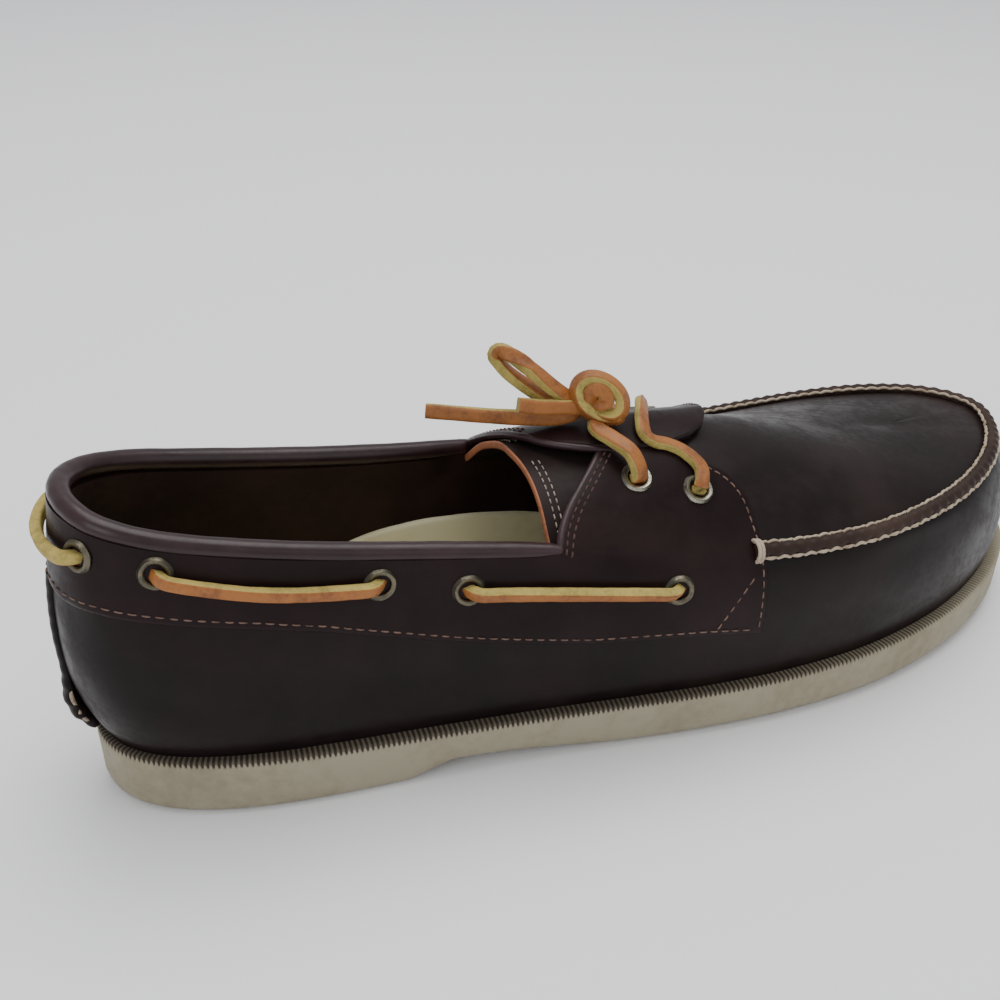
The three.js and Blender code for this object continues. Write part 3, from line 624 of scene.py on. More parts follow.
@dataclass(frozen=True)
class MetalFinish:
    """Antique brass with a grey-green patina in the low places."""

    name: str
    bright: Rgb
    patina: Rgb
    rough: float = 0.38

    def build(self) -> bpy.types.Material:
        """Patina mask between bright metal and a duller, less metallic tone."""
        f = Finish(self.name)
        n = f.nodes
        soil = f.place_group(SOIL, Blotch_Scale=260.0, Tooth_Scale=2200.0)
        colour = n.mix(soil.outputs["Mask"], self.bright, self.patina)
        f.link(Base_Color=colour, Roughness=n.ramp(soil.outputs["Mask"], 0, 1, self.rough, 0.65),
               Metallic=n.ramp(soil.outputs["Mask"], 0, 1, 1.0, 0.55))
        f.relief(soil.outputs["Height"], 0.08, 0.5)
        return f.material


@dataclass(frozen=True)
class ThreadFinish:
    """Waxed thread in two tones."""

    name: str
    light: Rgb
    dark: Rgb

    def build(self) -> bpy.types.Material:
        """Soil mask between a light and a worn tone, with a fine tooth."""
        f = Finish(self.name, Specular_IOR_Level=0.3)
        soil = f.place_group(SOIL, Blotch_Scale=150.0, Tooth_Scale=3000.0)
        f.link(Base_Color=f.nodes.mix(soil.outputs["Mask"], self.light, self.dark),
               Roughness=f.nodes.ramp(soil.outputs["Height"], 0.3, 0.7, 0.65, 0.9))
        f.relief(soil.outputs["Height"], 0.12, 0.6)
        return f.material


class Wardrobe:
    """Every finish of the shoe, built once."""

    def __init__(self) -> None:
        """Builds the finishes, from the leathers to the lace."""
        rubber, soiled_rubber = linear(154, 146, 124), linear(132, 122, 99)
        rubber_values = (0.66, 34.0, 1300.0, 0.05, 0.75)
        self.body = LeatherFinish(
            "leather_body", linear(23, 18, 17), linear(35, 26, 25)).build()
        self.band = LeatherFinish(
            "leather_band", linear(27, 17, 17), linear(38, 25, 25)).build()
        self.plug = LeatherFinish(
            "leather_plug", linear(29, 23, 22), linear(42, 33, 32)).build()
        self.roll = LeatherFinish(
            "leather_roll", linear(39, 25, 26), linear(54, 35, 38), 0.28, 0.4, 0.08, 1500.0, 0.03, 0.3).build()
        self.ridge = LeatherFinish(
            "leather_ridge", linear(46, 35, 31), linear(64, 50, 43), 0.4, 0.55, 0.02, 1500.0, 0.05).build()
        self.lining = LeatherFinish(
            "leather_lining", linear(40, 28, 25), linear(56, 40, 35), 0.5, 0.68, 0.0).build()
        self.raw_edge = MatteFinish(
            "raw_edge", linear(160, 100, 68), linear(112, 68, 46), 0.7, 90.0, 2200.0, 0.15, 0.8).build()
        self.wing = MatteFinish(
            "footbed_wing", linear(246, 238, 196), linear(218, 204, 154), 0.68, 24.0, 1800.0, 0.06, 0.6).build()
        self.insole = MatteFinish(
            "footbed", linear(226, 214, 166), linear(190, 174, 124), 0.68, 24.0, 1800.0, 0.06, 0.8).build()
        self.rubber = MatteFinish(
            "sole_rubber", rubber, soiled_rubber, *rubber_values).build()
        # The ribbed edge's last colour, a dark brown, is painted shade for the rib grooves and the band under the
        # upper.
        self.rubber_edge = MatteFinish(
            "sole_rubber_ribbed", rubber, soiled_rubber, *rubber_values, linear(52, 42, 34)).build()
        self.seam_thread = ThreadFinish(
            "seam_thread", linear(176, 161, 140), linear(132, 112, 92)).build()
        self.fine_thread = ThreadFinish(
            "fine_thread", linear(122, 98, 86), linear(76, 56, 49)).build()
        self.tongue_thread = ThreadFinish(
            "tongue_thread", linear(158, 146, 132), linear(110, 96, 86)).build()
        self.dark_thread = ThreadFinish(
            "dark_thread", linear(84, 60, 55), linear(48, 34, 32)).build()
        self.brass = MetalFinish(
            "eyelet_brass", linear(112, 106, 90), linear(58, 58, 50)).build()
        self.worn_brass = MetalFinish(
            "eyelet_worn", linear(164, 160, 144), linear(84, 84, 72), 0.3).build()
        self.lace = RawhideFinish(
            "rawhide", linear(158, 98, 44), linear(116, 67, 32), linear(178, 158, 86), linear(136, 120, 62)).build()


# ---------------------------------------------------------------- studio

@dataclass
class Studio:
    """Camera, soft lights and a pale floor."""

    azimuth: float = -22.84
    elevation: float = 28.74
    roll: float = 0.29
    distance_mm: float = 430.7
    target_mm: tuple[float, float, float] = (-15.75, 33.26, 40.11)
    lens_mm: float = 51.12
    sensor_mm: float = 36.0

    def axes(self) -> tuple[Array, Array, Array]:
        """Camera's right, up and back directions: a turn about Z, a tilt, then a roll."""
        a, e, r = np.radians([self.azimuth, self.elevation, self.roll])
        back = np.array([np.sin(a) * np.cos(e), -np.cos(a) * np.cos(e), np.sin(e)])
        right = np.array([np.cos(a), np.sin(a), 0.0])
        up = np.cross(back, right)
        return right * np.cos(r) + up * np.sin(r), up * np.cos(r) - right * np.sin(r), back

    def build_camera(self) -> None:
        """Makes the camera and hands it to the scene."""
        data = bpy.data.cameras.new("camera")
        data.lens, data.sensor_width = self.lens_mm, self.sensor_mm
        data.clip_start, data.clip_end = 0.01, 20
        camera = bpy.data.objects.new("camera", data)
        bpy.context.collection.objects.link(camera)
        right, up, back = self.axes()
        place = (np.array(self.target_mm) + back * self.distance_mm) * MM
        matrix = Matrix.Identity(4)
        for i, axis in enumerate((right, up, back, place)):
            matrix.col[i][:3] = axis.tolist()
        camera.matrix_world = matrix
        bpy.context.scene.camera = camera

    def build_floor(self) -> None:
        """A plain pale tabletop."""
        bpy.ops.mesh.primitive_plane_add(size=6, location=(0, 0, 0))
        floor = bpy.context.object
        floor.name = "floor"
        f = Finish("floor_pale", Roughness=0.55, Specular_IOR_Level=0.3)
        f.shader.inputs["Base Color"].default_value = (*linear(251, 251, 253), 1)
        floor.data.materials.append(f.material)

    def area(self, name: str, place: Vector, aim: Vector, size: float, power: float, tint: Rgb) -> None:
        """One square area light aimed at a point."""
        data = bpy.data.lights.new(name, "AREA")
        data.size, data.energy, data.color = size, power, tint
        lamp = bpy.data.objects.new(name, data)
        lamp.location = place
        lamp.rotation_euler = (aim - place).to_track_quat("-Z", "Y").to_euler()
        bpy.context.collection.objects.link(lamp)

    def build_lights(self) -> None:
        """A big soft ceiling, a weaker window from the left front and an even sky."""
        aim = Vector((0, 0, 0.04))
        self.area("ceiling", Vector((0.15, 0.25, 1.5)), aim, 1.3, 21, (1, 0.985, 0.96))
        self.area("window", Vector((-1.3, -0.9, 0.9)), aim, 1.0, 7.5, (0.95, 0.975, 1))
        self.area("fill", Vector((0.9, -1.3, 0.7)), aim, 1.2, 3.5, (1, 1, 1))
        world = bpy.data.worlds.new("sky")
        world.use_nodes = True
        back = world.node_tree.nodes["Background"]
        back.inputs["Color"].default_value = (0.86, 0.88, 0.92, 1)
        back.inputs["Strength"].default_value = 0.62
        bpy.context.scene.world = world


# ---------------------------------------------------------------- lace

def lace_section(width: float, height: float, count: int = 24) -> Array:
    """Rounded square outline: a superellipse |x|^7 + |y|^7 = 1, scaled."""
    angle = 2 * np.pi * np.arange(count) / count
    x, y = np.cos(angle), np.sin(angle)
    reach = (np.abs(x) ** 7 + np.abs(y) ** 7) ** (-1 / 7)
    return np.stack([x * reach * width / 2, y * reach * height / 2], -1)


def turned(section: Array, degrees: Array) -> Array:
    """The section turned by an angle at each point of the path."""
    a = np.radians(np.asarray(degrees, float))[:, None]
    x, y = section[:, 0], section[:, 1]
    return np.stack([x * np.cos(a) - y * np.sin(a), x * np.sin(a) + y * np.cos(a)], -1)


@dataclass
class LaceRun:
    """One stretch of square-cut lace along a path."""

    name: str
    path: Array
    up: Array
    turn: Array
    width: float = 3.6
    height: float = 3.4
    replaces: tuple[str, ...] = ()

    def build(self, material: bpy.types.Material) -> bpy.types.Object:
        """Carries the section along the path; the grain side is the face towards +side."""
        n = len(self.path)
        wobble = 1 + 0.02 * np.sin(np.arange(n) * 0.31) * np.sin(np.arange(n) * 0.13)
        section = lace_section(self.width, self.height)
        sections = turned(section, self.turn) * wobble[:, None, None]
        vertices, faces = sweep(self.path, self.up, sections)
        obj = add_mesh(self.name, vertices, faces, material, sharp=75)
        along_x = section[:, 0] / (self.width / 2)
        side = smoothstep(along_x, 0.5, 0.95)
        values = np.concatenate([np.tile(side, n), [0.0, 0.0]])
        layer = obj.data.attributes.new("grain_side", "FLOAT", "POINT")
        layer.data.foreach_set("value", values.astype(np.float32))
        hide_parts(*self.replaces)
        return obj


@dataclass
class Seat:
    """An eyelet's place: ring position, wall position, centre and outward normal."""

    name: str
    q: float
    v: float

    @property
    def centre(self) -> Array:
        """Centre on the outer face."""
        return LAST.point(self.q, self.v)

    @property
    def normal(self) -> Array:
        """Outward normal there."""
        return LAST.normal(self.q, self.v)


# Side eyelets: station and distance under the rim line.
SIDE_EYELETS = (("heel", 1.6, 7.8), ("rear_back", 3.0, 6.6), ("rear_front", 5.7, 7.2),
                ("front_back", 6.8, 9.2), ("front_front", 9.4, 9.4))
# Saddle eyelets: station and share of the way from rim line to ridge. The inner saddle reaches further up.
SADDLE_EYELETS = {Side.LATERAL: (("saddle_back", 9.2, 0.42), ("saddle_front", 9.9, 0.32)),
                  Side.MEDIAL: (("saddle_back", 9.25, 0.6), ("saddle_front", 10.0, 0.7))}


def eyelet_seats() -> dict[str, Seat]:
    """All fourteen seats by name."""
    seats = {}
    for side in Side:
        for name, station, drop in SIDE_EYELETS:
            q = side.ring(station)
            height = float(LAST.rim(np.array(q))[2]) - drop
            seats[f"{side.value}_{name}"] = Seat(f"eyelet_{side.value}_{name}", q, LAST.level(q, height))
        for name, station, share in SADDLE_EYELETS[side]:
            seats[f"{side.value}_{name}"] = Seat(f"eyelet_{side.value}_{name}", side.ring(station), 1 + share)
    return seats


SEATS = eyelet_seats()

# Free lace, points in millimetres.
NEAR_RISE_ROUTE = ((-4.5, -27, 82.2), (-7.3, -21.5, 84.3), (-9.6, -17.2, 85.6))
LONG_END_ROUTE = ((-15.4, -7.6, 85.9), (-20, -5, 85.3), (-26, -1.6, 85), (-33, 2.4, 85), (-40, 6.4, 85.2),
                  (-47, 10.4, 85.4))
SHORT_END_ROUTE = ((-18.2, -9.6, 90.2), (-21, -9, 90.3), (-24.4, -8.3, 90.8), (-28, -7.8, 91.6))
FAR_RISE_ROUTE = ((-1.2, 5.2, 86.2), (-2.4, -0.6, 87.6), (-2.6, -6.2, 86.8))

# Twist and loop of the outer lace round the knot's centre in millimetres: right, up, forward.
TWIST_ROUTE = ((-2.9, -6.2, -3.2), (-2.2, -2.8, -2.4), (-2.6, 0.2, 0.6), (-1.2, 2.3, 1.9), (1.3, 1.9, 1.9),
               (1.5, -0.8, 1.4), (-0.6, -1.7, 0.4), (-3.4, -0.9, -2.4))
LOOP_ROUTE = ((-7.4, -0.8, -1.6), (-11.2, 2.6, 0.4), (-15.2, 7.6, 1.2), (-18.8, 11.4, 0.9), (-21.9, 12.9, 0.0),
              (-23.6, 11.0, -1.2), (-21.6, 6.6, -2.0), (-16.8, 1.9, -2.6), (-11.6, -1.7, -3.2),
              (-7.6, -3.8, -3.8))


@dataclass
class FreeLace:
    """The two laces that rise from the rear saddle eyelets, meet in the knot and end free."""

    knot_mm: tuple[float, float, float] = (-6.8, -12.6, 92.0)
    knot_right: tuple[float, float, float] = (0.92, -0.39, 0.0)
    knot_up: tuple[float, float, float] = (-0.19, 0.44, 0.88)
    curl_radius: float = 6.1
    curl_turns: float = 1.25
    thickness: float = 3.0
    breadth: float = 3.9
    near_length: float = 0.148
    far_length: float = 0.098

    def rise(self, seat: Seat) -> list[list[float]]:
        """Two points up out of an eyelet."""
        return [(seat.centre + seat.normal * h).tolist() for h in (-1.6, 3.0)]

    def round_knot(self, points: Array) -> Array:
        """Points given as right, up and forward of the knot's centre, in the shoe's own frame."""
        right, up = np.array(self.knot_right), np.array(self.knot_up)
        return np.array(self.knot_mm) + np.asarray(points) @ np.stack([right, up, np.cross(right, up)])

    def finish(self, name: str, seat: Seat, points: list, up: Array, turn: tuple[Sequence, Sequence], length: float,
               replaces: tuple[str, ...], material: bpy.types.Material) -> None:
        """Args:
            name: the piece's name.
            seat: the eyelet it leaves.
            points: its route in millimetres.
            up: direction the section is kept near.
            turn: shares of the length and the section's turn there in degrees.
            length: its length in metres; not used.
            replaces: the frame's pieces it stands for.
            material: its finish.
        """
        path = even(spline(points, 12), 0.7)
        angle = np.interp(np.linspace(0, 1, len(path)), *turn)
        run = LaceRun(name, path, np.broadcast_to(up, path.shape), angle, self.thickness, self.breadth, replaces)
        obj = run.build(material)
        (seat.centre * MM).tolist()

    def build_near(self, material: bpy.types.Material) -> None:
        """Outer lace: up into the knot, a twist in its middle, the loop, and behind the knot to the long end."""
        seat = SEATS["lateral_saddle_back"]
        points = [*self.rise(seat), *NEAR_RISE_ROUTE, *self.round_knot(TWIST_ROUTE + LOOP_ROUTE).tolist(),
                  *LONG_END_ROUTE]
        turn = ([0, 0.1, 0.2, 0.3, 0.4, 0.47, 0.56, 0.7, 1], [40, 62, 70, 90, 60, 40, 160, 120, 100])
        self.finish("lace_near", seat, points, np.array([-0.34, -0.81, 0.48]), turn, self.near_length,
                    ("lace_rise_lateral", "lace_loop", "lace_end_long"), material)

    def build_far(self, material: bpy.types.Material) -> None:
        """Inner lace: over the ridge, round the knot in a curl whose napped side faces out, to the short end."""
        seat = SEATS["medial_saddle_back"]
        turn = np.linspace(0.0, 2 * np.pi * self.curl_turns, 25)
        share = turn / turn[-1]
        radius = self.curl_radius - 0.6 * share
        depth = -1.2 + 2.6 * np.sin(np.pi * share)
        angle = np.radians(-60) - turn
        curl = self.round_knot(np.stack([radius * np.cos(angle), radius * np.sin(angle), depth], -1))
        points = [*self.rise(seat), *FAR_RISE_ROUTE, *curl.tolist(), *SHORT_END_ROUTE]
        turn_at = ([0, 0.2, 0.3, 0.72, 0.85, 1], [0, 120, 160, 150, 110, 90])
        self.finish("lace_far", seat, points, np.cross(self.knot_right, self.knot_up), turn_at, self.far_length,
                    ("lace_rise_medial", "lace_knot", "lace_end_short"), material)


@dataclass
class LaceBars:
    """Lace stretches outside the leather, each out of one eyelet and in at the next."""

    lift: float = 2.7
    over_eyelet: float = 3.5
    depth: float = 1.2
    overshoot: float = 1.3
    width: float = 2.9
    throat_route: tuple = ((9.98, 1.43, 2.7), (9.88, 1.55, 2.3), (9.73, 1.62, 2.1), (9.57, 1.65, 2.3),
                           (9.48, 1.7, 3.3), (9.54, 1.82, 3.6), (9.68, 1.98, 3.3), (9.85, 2.15, 2.9))

    def side_path(self, start: Seat, end: Seat, sag: float) -> tuple[Array, Array]:
        """Path along the wall: straight in ring position and height, less a sag, lifted over eyelets."""
        count = 140
        share = np.linspace(0, 1, count)
        reach = float(np.linalg.norm(end.centre - start.centre))
        wide = -self.overshoot / reach + (1 + 2 * self.overshoot / reach) * share
        q = start.q + (end.q - start.q) * wide
        z = start.centre[2] + (end.centre[2] - start.centre[2]) * share - sag * np.sin(np.pi * share)
        v = np.array([LAST.level(a, b) for a, b in zip(q, z)])
        flat = LAST.point(q, v)
        length = np.linalg.norm(np.diff(flat, axis=0), axis=1).sum()
        near = np.minimum(share, 1 - share) * length
        height = self.lift + (self.over_eyelet - self.lift) * np.exp(-((near / 9) ** 2))
        height = height - (height + self.depth) * np.exp(-((near / 2.4) ** 2))
        return LAST.offset(q, v, height), LAST.normal(q, v)

    def build_side(self, name: str, start: Seat, end: Seat, sag: float, turn: tuple[float, float],
                   material: bpy.types.Material) -> None:
        """One bar along the wall."""
        path, up = self.side_path(start, end, sag)
        angle = np.linspace(*turn, len(path))
        LaceRun(name, path, up, angle, self.width, self.width,
                (name.replace("rawhide", "lace"),)).build(material)

    def build_throat(self, material: bpy.types.Material) -> None:
        """The bar over the throat between the two front saddle eyelets, laid on the leather.

        Each row of its route is a station, a wall position counted on past the ridge, and a height.
        """
        near, far = SEATS["lateral_saddle_front"], SEATS["medial_saddle_front"]
        ends = [[(s.centre + s.normal * h).tolist() for h in (-2.4, 2.4)] for s in (near, far)]
        station, v, height = np.array(self.throat_route).T
        middle = LAST.offset(station, v, height).tolist()
        path = even(spline([*ends[0], *middle, *ends[1][::-1]], 12), 0.7)
        turn = np.interp(np.linspace(0, 1, len(path)), [0, 0.45, 0.6, 1], [95, 80, 60, 40])
        LaceRun("rawhide_bar_throat", path, np.array([0.2, -0.3, 1.0]), turn, 2.4, 3.6,
                ("lace_bar_throat",)).build(material)

    def build(self, material: bpy.types.Material) -> None:
        """All six bars."""
        heel = SEATS["medial_heel"]
        past = Seat(heel.name, heel.q - RING, heel.v)
        self.build_side("rawhide_bar_heel", SEATS["lateral_heel"], past, 1.0, (200, 200), material)
        for side in Side:
            at = {name: SEATS[f"{side.value}_{name}"] for name, *_ in SIDE_EYELETS}
            for part, sag, turn in (("rear", 2.5, (86.0, 72.0)), ("front", 0.3, (64.0, 50.0))):
                name = f"rawhide_bar_{side.value}_{part}"
                angles = turn if side is Side.LATERAL else (180 - turn[0], 180 - turn[1])
                self.build_side(name, at[f"{part}_back"], at[f"{part}_front"], sag, angles, material)
        self.build_throat(material)


@dataclass
class Eyelets:
    """Rolled brass eyelets, one piece each."""

    outer: float = 4.3
    bore: float = 2.5
    base: float = 0.25
    segments: int = 40

    def profile(self) -> Array:
        """Radius and height round the rolled rim, then down and up the barrel."""
        o, b = self.outer, self.bore
        points = [(b, -2.6), (b, 0.5), (b + 0.15, 0.95), (b + 0.6, 1.25), (b + 1.2, 1.3), (o - 0.55, 1.05),
                  (o - 0.1, 0.55), (o, 0.1), (o - 0.3, -0.2), (b + 0.9, -0.2), (b + 0.9, -2.6)]
        return np.array(points)

    def build_one(self, seat: Seat, material: bpy.types.Material) -> None:
        """Turns the profile round the seat's normal, a closed ring both ways."""
        profile = self.profile()
        normal = seat.normal
        side = unit(np.cross(normal, [0.0, 0.0, 1.0]))
        up = np.cross(side, normal)
        angle = 2 * np.pi * np.arange(self.segments) / self.segments
        dent = 1 + 0.012 * np.sin(3 * angle + seat.q) + 0.01 * np.sin(7 * angle)
        around = np.cos(angle)[:, None] * side + np.sin(angle)[:, None] * up
        radius = profile[None, :, :1] * dent[:, None, None]
        points = (seat.centre + normal * self.base + around[:, None] * radius
                  + normal * profile[None, :, 1:])
        faces = grid_faces(self.segments, len(profile), True, True)
        obj = add_mesh(seat.name.replace("eyelet", "eyelet_ring"), points.reshape(-1, 3), faces[:, ::-1],
                       material, sharp=80)
        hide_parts(seat.name)

    def build(self, side_metal: bpy.types.Material, saddle_metal: bpy.types.Material) -> None:
        """All fourteen."""
        for seat in SEATS.values():
            self.build_one(seat, saddle_metal if "saddle" in seat.name else side_metal)


# ---------------------------------------------------------------- sole

# The sole's side from the underside to the top: how far in from the outline at the heel and at the
# forefoot, and the height. Heights over 0 count from the underside, the others from the top.
SOLE_PROFILE = ((3.9, 5.8, 0.5), (3.0, 4.6, 0.35), (2.2, 3.2, 0.75), (1.4, 2.0, 1.6), (0.9, 1.1, 2.9),
                (0.55, 0.55, 4.4), (0.2, 0.2, -5.5), (0.05, 0.05, -3.2), (0, 0, -2.3), (0, 0, -1.7),
                (0, 0, -1.0), (0.15, 0.15, -0.4), (0.6, 0.6, -0.05), (1.6, 1.6, 0.0), (5.0, 5.0, 0.0))


@dataclass
class Outsole:
    """Pale rubber unit sole with a ribbed top edge and a siped bottom."""

    heel_front: float = 6.0
    breast_top: float = 6.6
    breast_step: float = 4.0
    arch_end: float = 9.3
    spring_start: float = 13.4
    toe_spring: float = 5.0
    rib_pitch: float = 1.4
    rib_depth: float = 0.55
    rib_height: float = 2.2
    sipe_pitch: float = 3.8
    sipe_depth: float = 1.3

    def bottom(self, station: Array) -> Array:
        """Height of the underside: flat heel, sloped breast, arch falling to the forefoot, toe spring."""
        breast = self.breast_step * np.clip((station - self.heel_front) / (self.breast_top - self.heel_front), 0, 1)
        arch = 1 - smoothstep(station, self.breast_top, self.arch_end)
        spring = np.clip((station - self.spring_start) / (LAST_STATION - self.spring_start), 0, None)
        return breast * arch + self.toe_spring * spring**2

    def build_edge(self, material: bpy.types.Material) -> None:
        """Side wall of the sole: the outline carried down a profile, ribbed near the top.

        The rib is a raised cosine of the length along the outline, faded in over rib_height. The attribute groove
        holds painted shade: dark in the grooves and in a band just under the top, where the upper's shadow falls,
        weaker towards the toe.
        """
        q = np.linspace(0, RING, 4001)
        outline = LAST.outline(q, 0.0, 0.0)
        along = running_length(outline)
        ribs = int(round(along[-1] / self.rib_pitch))
        samples = ribs * 6
        q = np.interp(np.arange(samples) / samples * along[-1], along, q)
        rib = 0.5 + 0.5 * np.cos(2 * np.pi * np.arange(samples) / 6)
        station = LAST.station(q)
        low, top = self.bottom(station), LAST.value("soleTop", q)
        fore = smoothstep(station, self.heel_front, self.arch_end)
        tall = self.rib_height * np.interp(station, [8, 12, 16], [1, 0.62, 0.4])
        # Strength of the painted shade, weaker towards the toe.
        painted_shade_fade = np.interp(station, [9, 13, 16], [1, 0.75, 0.45])
        rings, painted_shade = [], []
        for heel_in, fore_in, height in SOLE_PROFILE:
            z = low + height if height > 0 else top + height
            groove = smoothstep(z, top - tall, top - tall * 0.55) * (1 - rib)
            inset = heel_in + (fore_in - heel_in) * fore + self.rib_depth * groove
            rings.append(LAST.outline(q, inset, z))
            # Painted shade: the grooves, and a darker band just under the top edge where the upper overhangs.
            painted_shade.append(painted_shade_fade * np.maximum(groove, 0.55 * smoothstep(z, top - tall / 2, top - tall / 5)))
        points = np.stack(rings, 1)
        count = len(SOLE_PROFILE)
        faces = grid_faces(samples, count, True, False)[:, ::-1]
        caps = [(np.arange(samples) * count).tolist(), (np.arange(samples)[::-1] * count + count - 1).tolist()]
        obj = add_mesh("outsole_edge", points.reshape(-1, 3), [*faces.tolist(), *caps], material,
                       sharp=60)
        layer = obj.data.attributes.new("groove", "FLOAT", "POINT")
        layer.data.foreach_set("value", np.stack(painted_shade, 1).reshape(-1).astype(np.float32))
        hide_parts("outsole")

    def build_tread(self, material: bpy.types.Material) -> None:
        """Underside with wavy cuts across the foot: a train of narrow bells along x, shifted by a sine of y."""
        station = np.linspace(0.02, LAST_STATION - 0.02, 950)
        share = edge_spacing(26, (0.03, 0.06))
        fore = smoothstep(station, self.heel_front, self.arch_end)
        inset = 3.2 + 1.6 * fore
        low = self.bottom(station)
        left = LAST.outline(station, inset, low)
        right = LAST.outline(RING - station, inset, low)
        face = left[:, None] * (1 - share[None, :, None]) + right[:, None] * share[None, :, None]
        phase = (face[..., 0] + 1.6 * np.sin(face[..., 1] * 2 * np.pi / 11)) / self.sipe_pitch
        cut = np.exp(-(((phase - np.round(phase)) * self.sipe_pitch / 0.42) ** 2))
        inner = smoothstep(np.minimum(share, 1 - share), 0.04, 0.08)[None, :]
        on_ground = (1 - smoothstep(station, 5.6, 6.0) + smoothstep(station, 9.0, 9.5))[:, None]
        ends = (smoothstep(station, 0.6, 1.0) * (1 - smoothstep(station, 17.2, 17.6)))[:, None]
        bottom = face.copy()
        bottom[..., 2] += self.sipe_depth * cut * inner * on_ground * ends
        top = face.copy()
        top[..., 2] += 2.2
        vertices, faces = shell(top, bottom)
        add_mesh("outsole_tread", vertices, faces[:, ::-1], material, sharp=35)

    def build(self, edge: bpy.types.Material, tread: bpy.types.Material) -> None:
        """Edge and tread."""
        self.build_edge(edge)
        self.build_tread(tread)


# Top edge of the footbed's arch wing: station and wall position.
WING_CREST = np.array([[4.4, 0.07], [5.2, 0.24], [6.15, 0.43], [6.65, 0.5], [7.3, 0.53], [8.05, 0.5],
                       [8.75, 0.42], [9.8, 0.26], [10.8, 0.07]])


@dataclass
class Insole:
    """Footbed, slightly dished, with an arch wing that climbs the inner wall."""

    thickness: float = 3.0
    margin: float = 1.0
    wing_depth: float = 3.1
    wing_thickness: float = 1.3

    def build_bed(self, material: bpy.types.Material) -> None:
        """Straight lines across from edge to edge, raised towards the edges by the fourth power."""
        station = np.linspace(0.03, LAST_STATION - 0.03, 220)
        share = edge_spacing(40, (0.004, 0.012, 0.025))
        top = LAST.value("soleTop", station) + LAST.GAP + self.thickness
        inset = LAST.value("inset", station) + self.margin
        left, right = LAST.outline(station, inset, top), LAST.outline(RING - station, inset, top)
        face = left[:, None] * (1 - share[None, :, None]) + right[:, None] * share[None, :, None]
        across = 2 * share - 1
        heel = 1 - smoothstep(station, 5, 9)
        dish = (1.3 + 1.2 * heel)[:, None] * np.abs(across[None, :]) ** 4
        x, y = face[..., 0], face[..., 1]
        wear = 0.7 * np.exp(-(((x + 108) / 26) ** 2) - (((y + 1) / 16) ** 2))
        wear += 0.8 * np.exp(-(((x - 62) / 34) ** 2) - (((y - 2) / 24) ** 2))
        face[..., 2] += dish - wear
        bottom = face.copy()
        bottom[..., 2] = (top - self.thickness)[:, None]
        vertices, faces = shell(face, bottom)
        obj = add_mesh("footbed", vertices, faces[:, ::-1], material, sharp=50)
        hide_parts("insole")

    def build_wing(self, material: bpy.types.Material) -> None:
        """Arch wing: a sheet along the inner wall whose top edge is a low hump."""
        station = np.linspace(4.4, 10.8, 170)
        share = edge_spacing(30, (0.01, 0.03))
        crest = np.interp(station, *WING_CREST.T)
        crest = np.convolve(np.pad(crest, 6, mode="edge"), np.ones(13) / 13, mode="valid")
        Q = np.broadcast_to((RING - station)[:, None], (station.size, share.size))
        V = 0.03 + (crest[:, None] - 0.03) * share[None, :]
        round_top = self.wing_thickness * (1 - rounded((1 - share) * 24, 0.9))[None, :]
        outer = LAST.offset(Q, V, -self.wing_depth)
        inner = LAST.offset(Q, V, -self.wing_depth - self.wing_thickness - 1.2 * (1 - share[None, :]) + round_top)
        vertices, faces = shell(inner, outer)
        add_mesh("footbed_wing", vertices, faces, material, sharp=60)

    def build(self, bed: bpy.types.Material, wing: bpy.types.Material) -> None:
        """Bed and wing."""
        self.build_bed(bed)
        self.build_wing(wing)


# ---------------------------------------------------------------- upper

# Lower edge of the collar band and saddle: station and wall position.
BAND_LOW = np.array([[0, 0.67], [0.9, 0.67], [1.9, 0.69], [3.0, 0.69], [4.2, 0.67], [5.0, 0.64], [6.5, 0.53],
                     [8.4, 0.40], [9.8, 0.355], [10.6, 0.31]])
# Upper edge, station and wall position: under the roll at the collar, then the saddle's free edge and
# its rounded front. The inner saddle laps over the ridge, where the wall position passes 2.
BAND_HIGH = {
    Side.LATERAL: np.array([[0, 0.985], [7.7, 0.985], [8.0, 1.0], [8.12, 1.14], [8.3, 1.28], [8.5, 1.4],
                            [8.72, 1.53], [8.9, 1.64], [9.05, 1.685], [9.3, 1.69], [9.6, 1.65], [9.9, 1.565],
                            [10.12, 1.5], [10.32, 1.43], [10.43, 1.35], [10.48, 1.24], [10.49, 1.06]]),
    Side.MEDIAL: np.array([[0, 0.985], [7.7, 0.985], [8.0, 1.0], [8.03, 1.3], [8.09, 1.6], [8.18, 1.88],
                           [8.32, 2.08], [8.55, 2.22], [8.85, 2.32], [9.15, 2.37], [9.5, 2.37], [9.8, 2.35],
                           [10.1, 2.3], [10.35, 2.21], [10.53, 2.08], [10.65, 1.88], [10.72, 1.55], [10.75, 1.1]]),
}
REAR_ROWS = slice(2, 10)
FRONT_ROWS = slice(-6, None)
STITCHED_UP_TO = 1.9  # wall position where the saddles' stitch rows stop, short of the ridge
EDGE_INSET = 0.07  # stations from a saddle's front edge to its stitches


def band_front(side: Side) -> float:
    """Station of a saddle's front edge."""
    return float(BAND_HIGH[side][-1, 0])


def band_low(q: Array) -> Array:
    """Wall position of the band's lower edge."""
    return np.interp(LAST.station(q), BAND_LOW[:, 0], BAND_LOW[:, 1])


def band_high(q: Array) -> Array:
    """Wall position of the band's or saddle's upper edge."""
    station = LAST.station(q)
    rows = [np.interp(station, *BAND_HIGH[side].T) for side in (Side.MEDIAL, Side.LATERAL)]
    return np.where(LAST.inner(q), *rows)


def heel_pucker(v: Array) -> Array:
    """How far the heel seam stands out where the leather is gathered low down, in millimetres."""
    return 2.0 * bump(v, 0.13, 0.11)


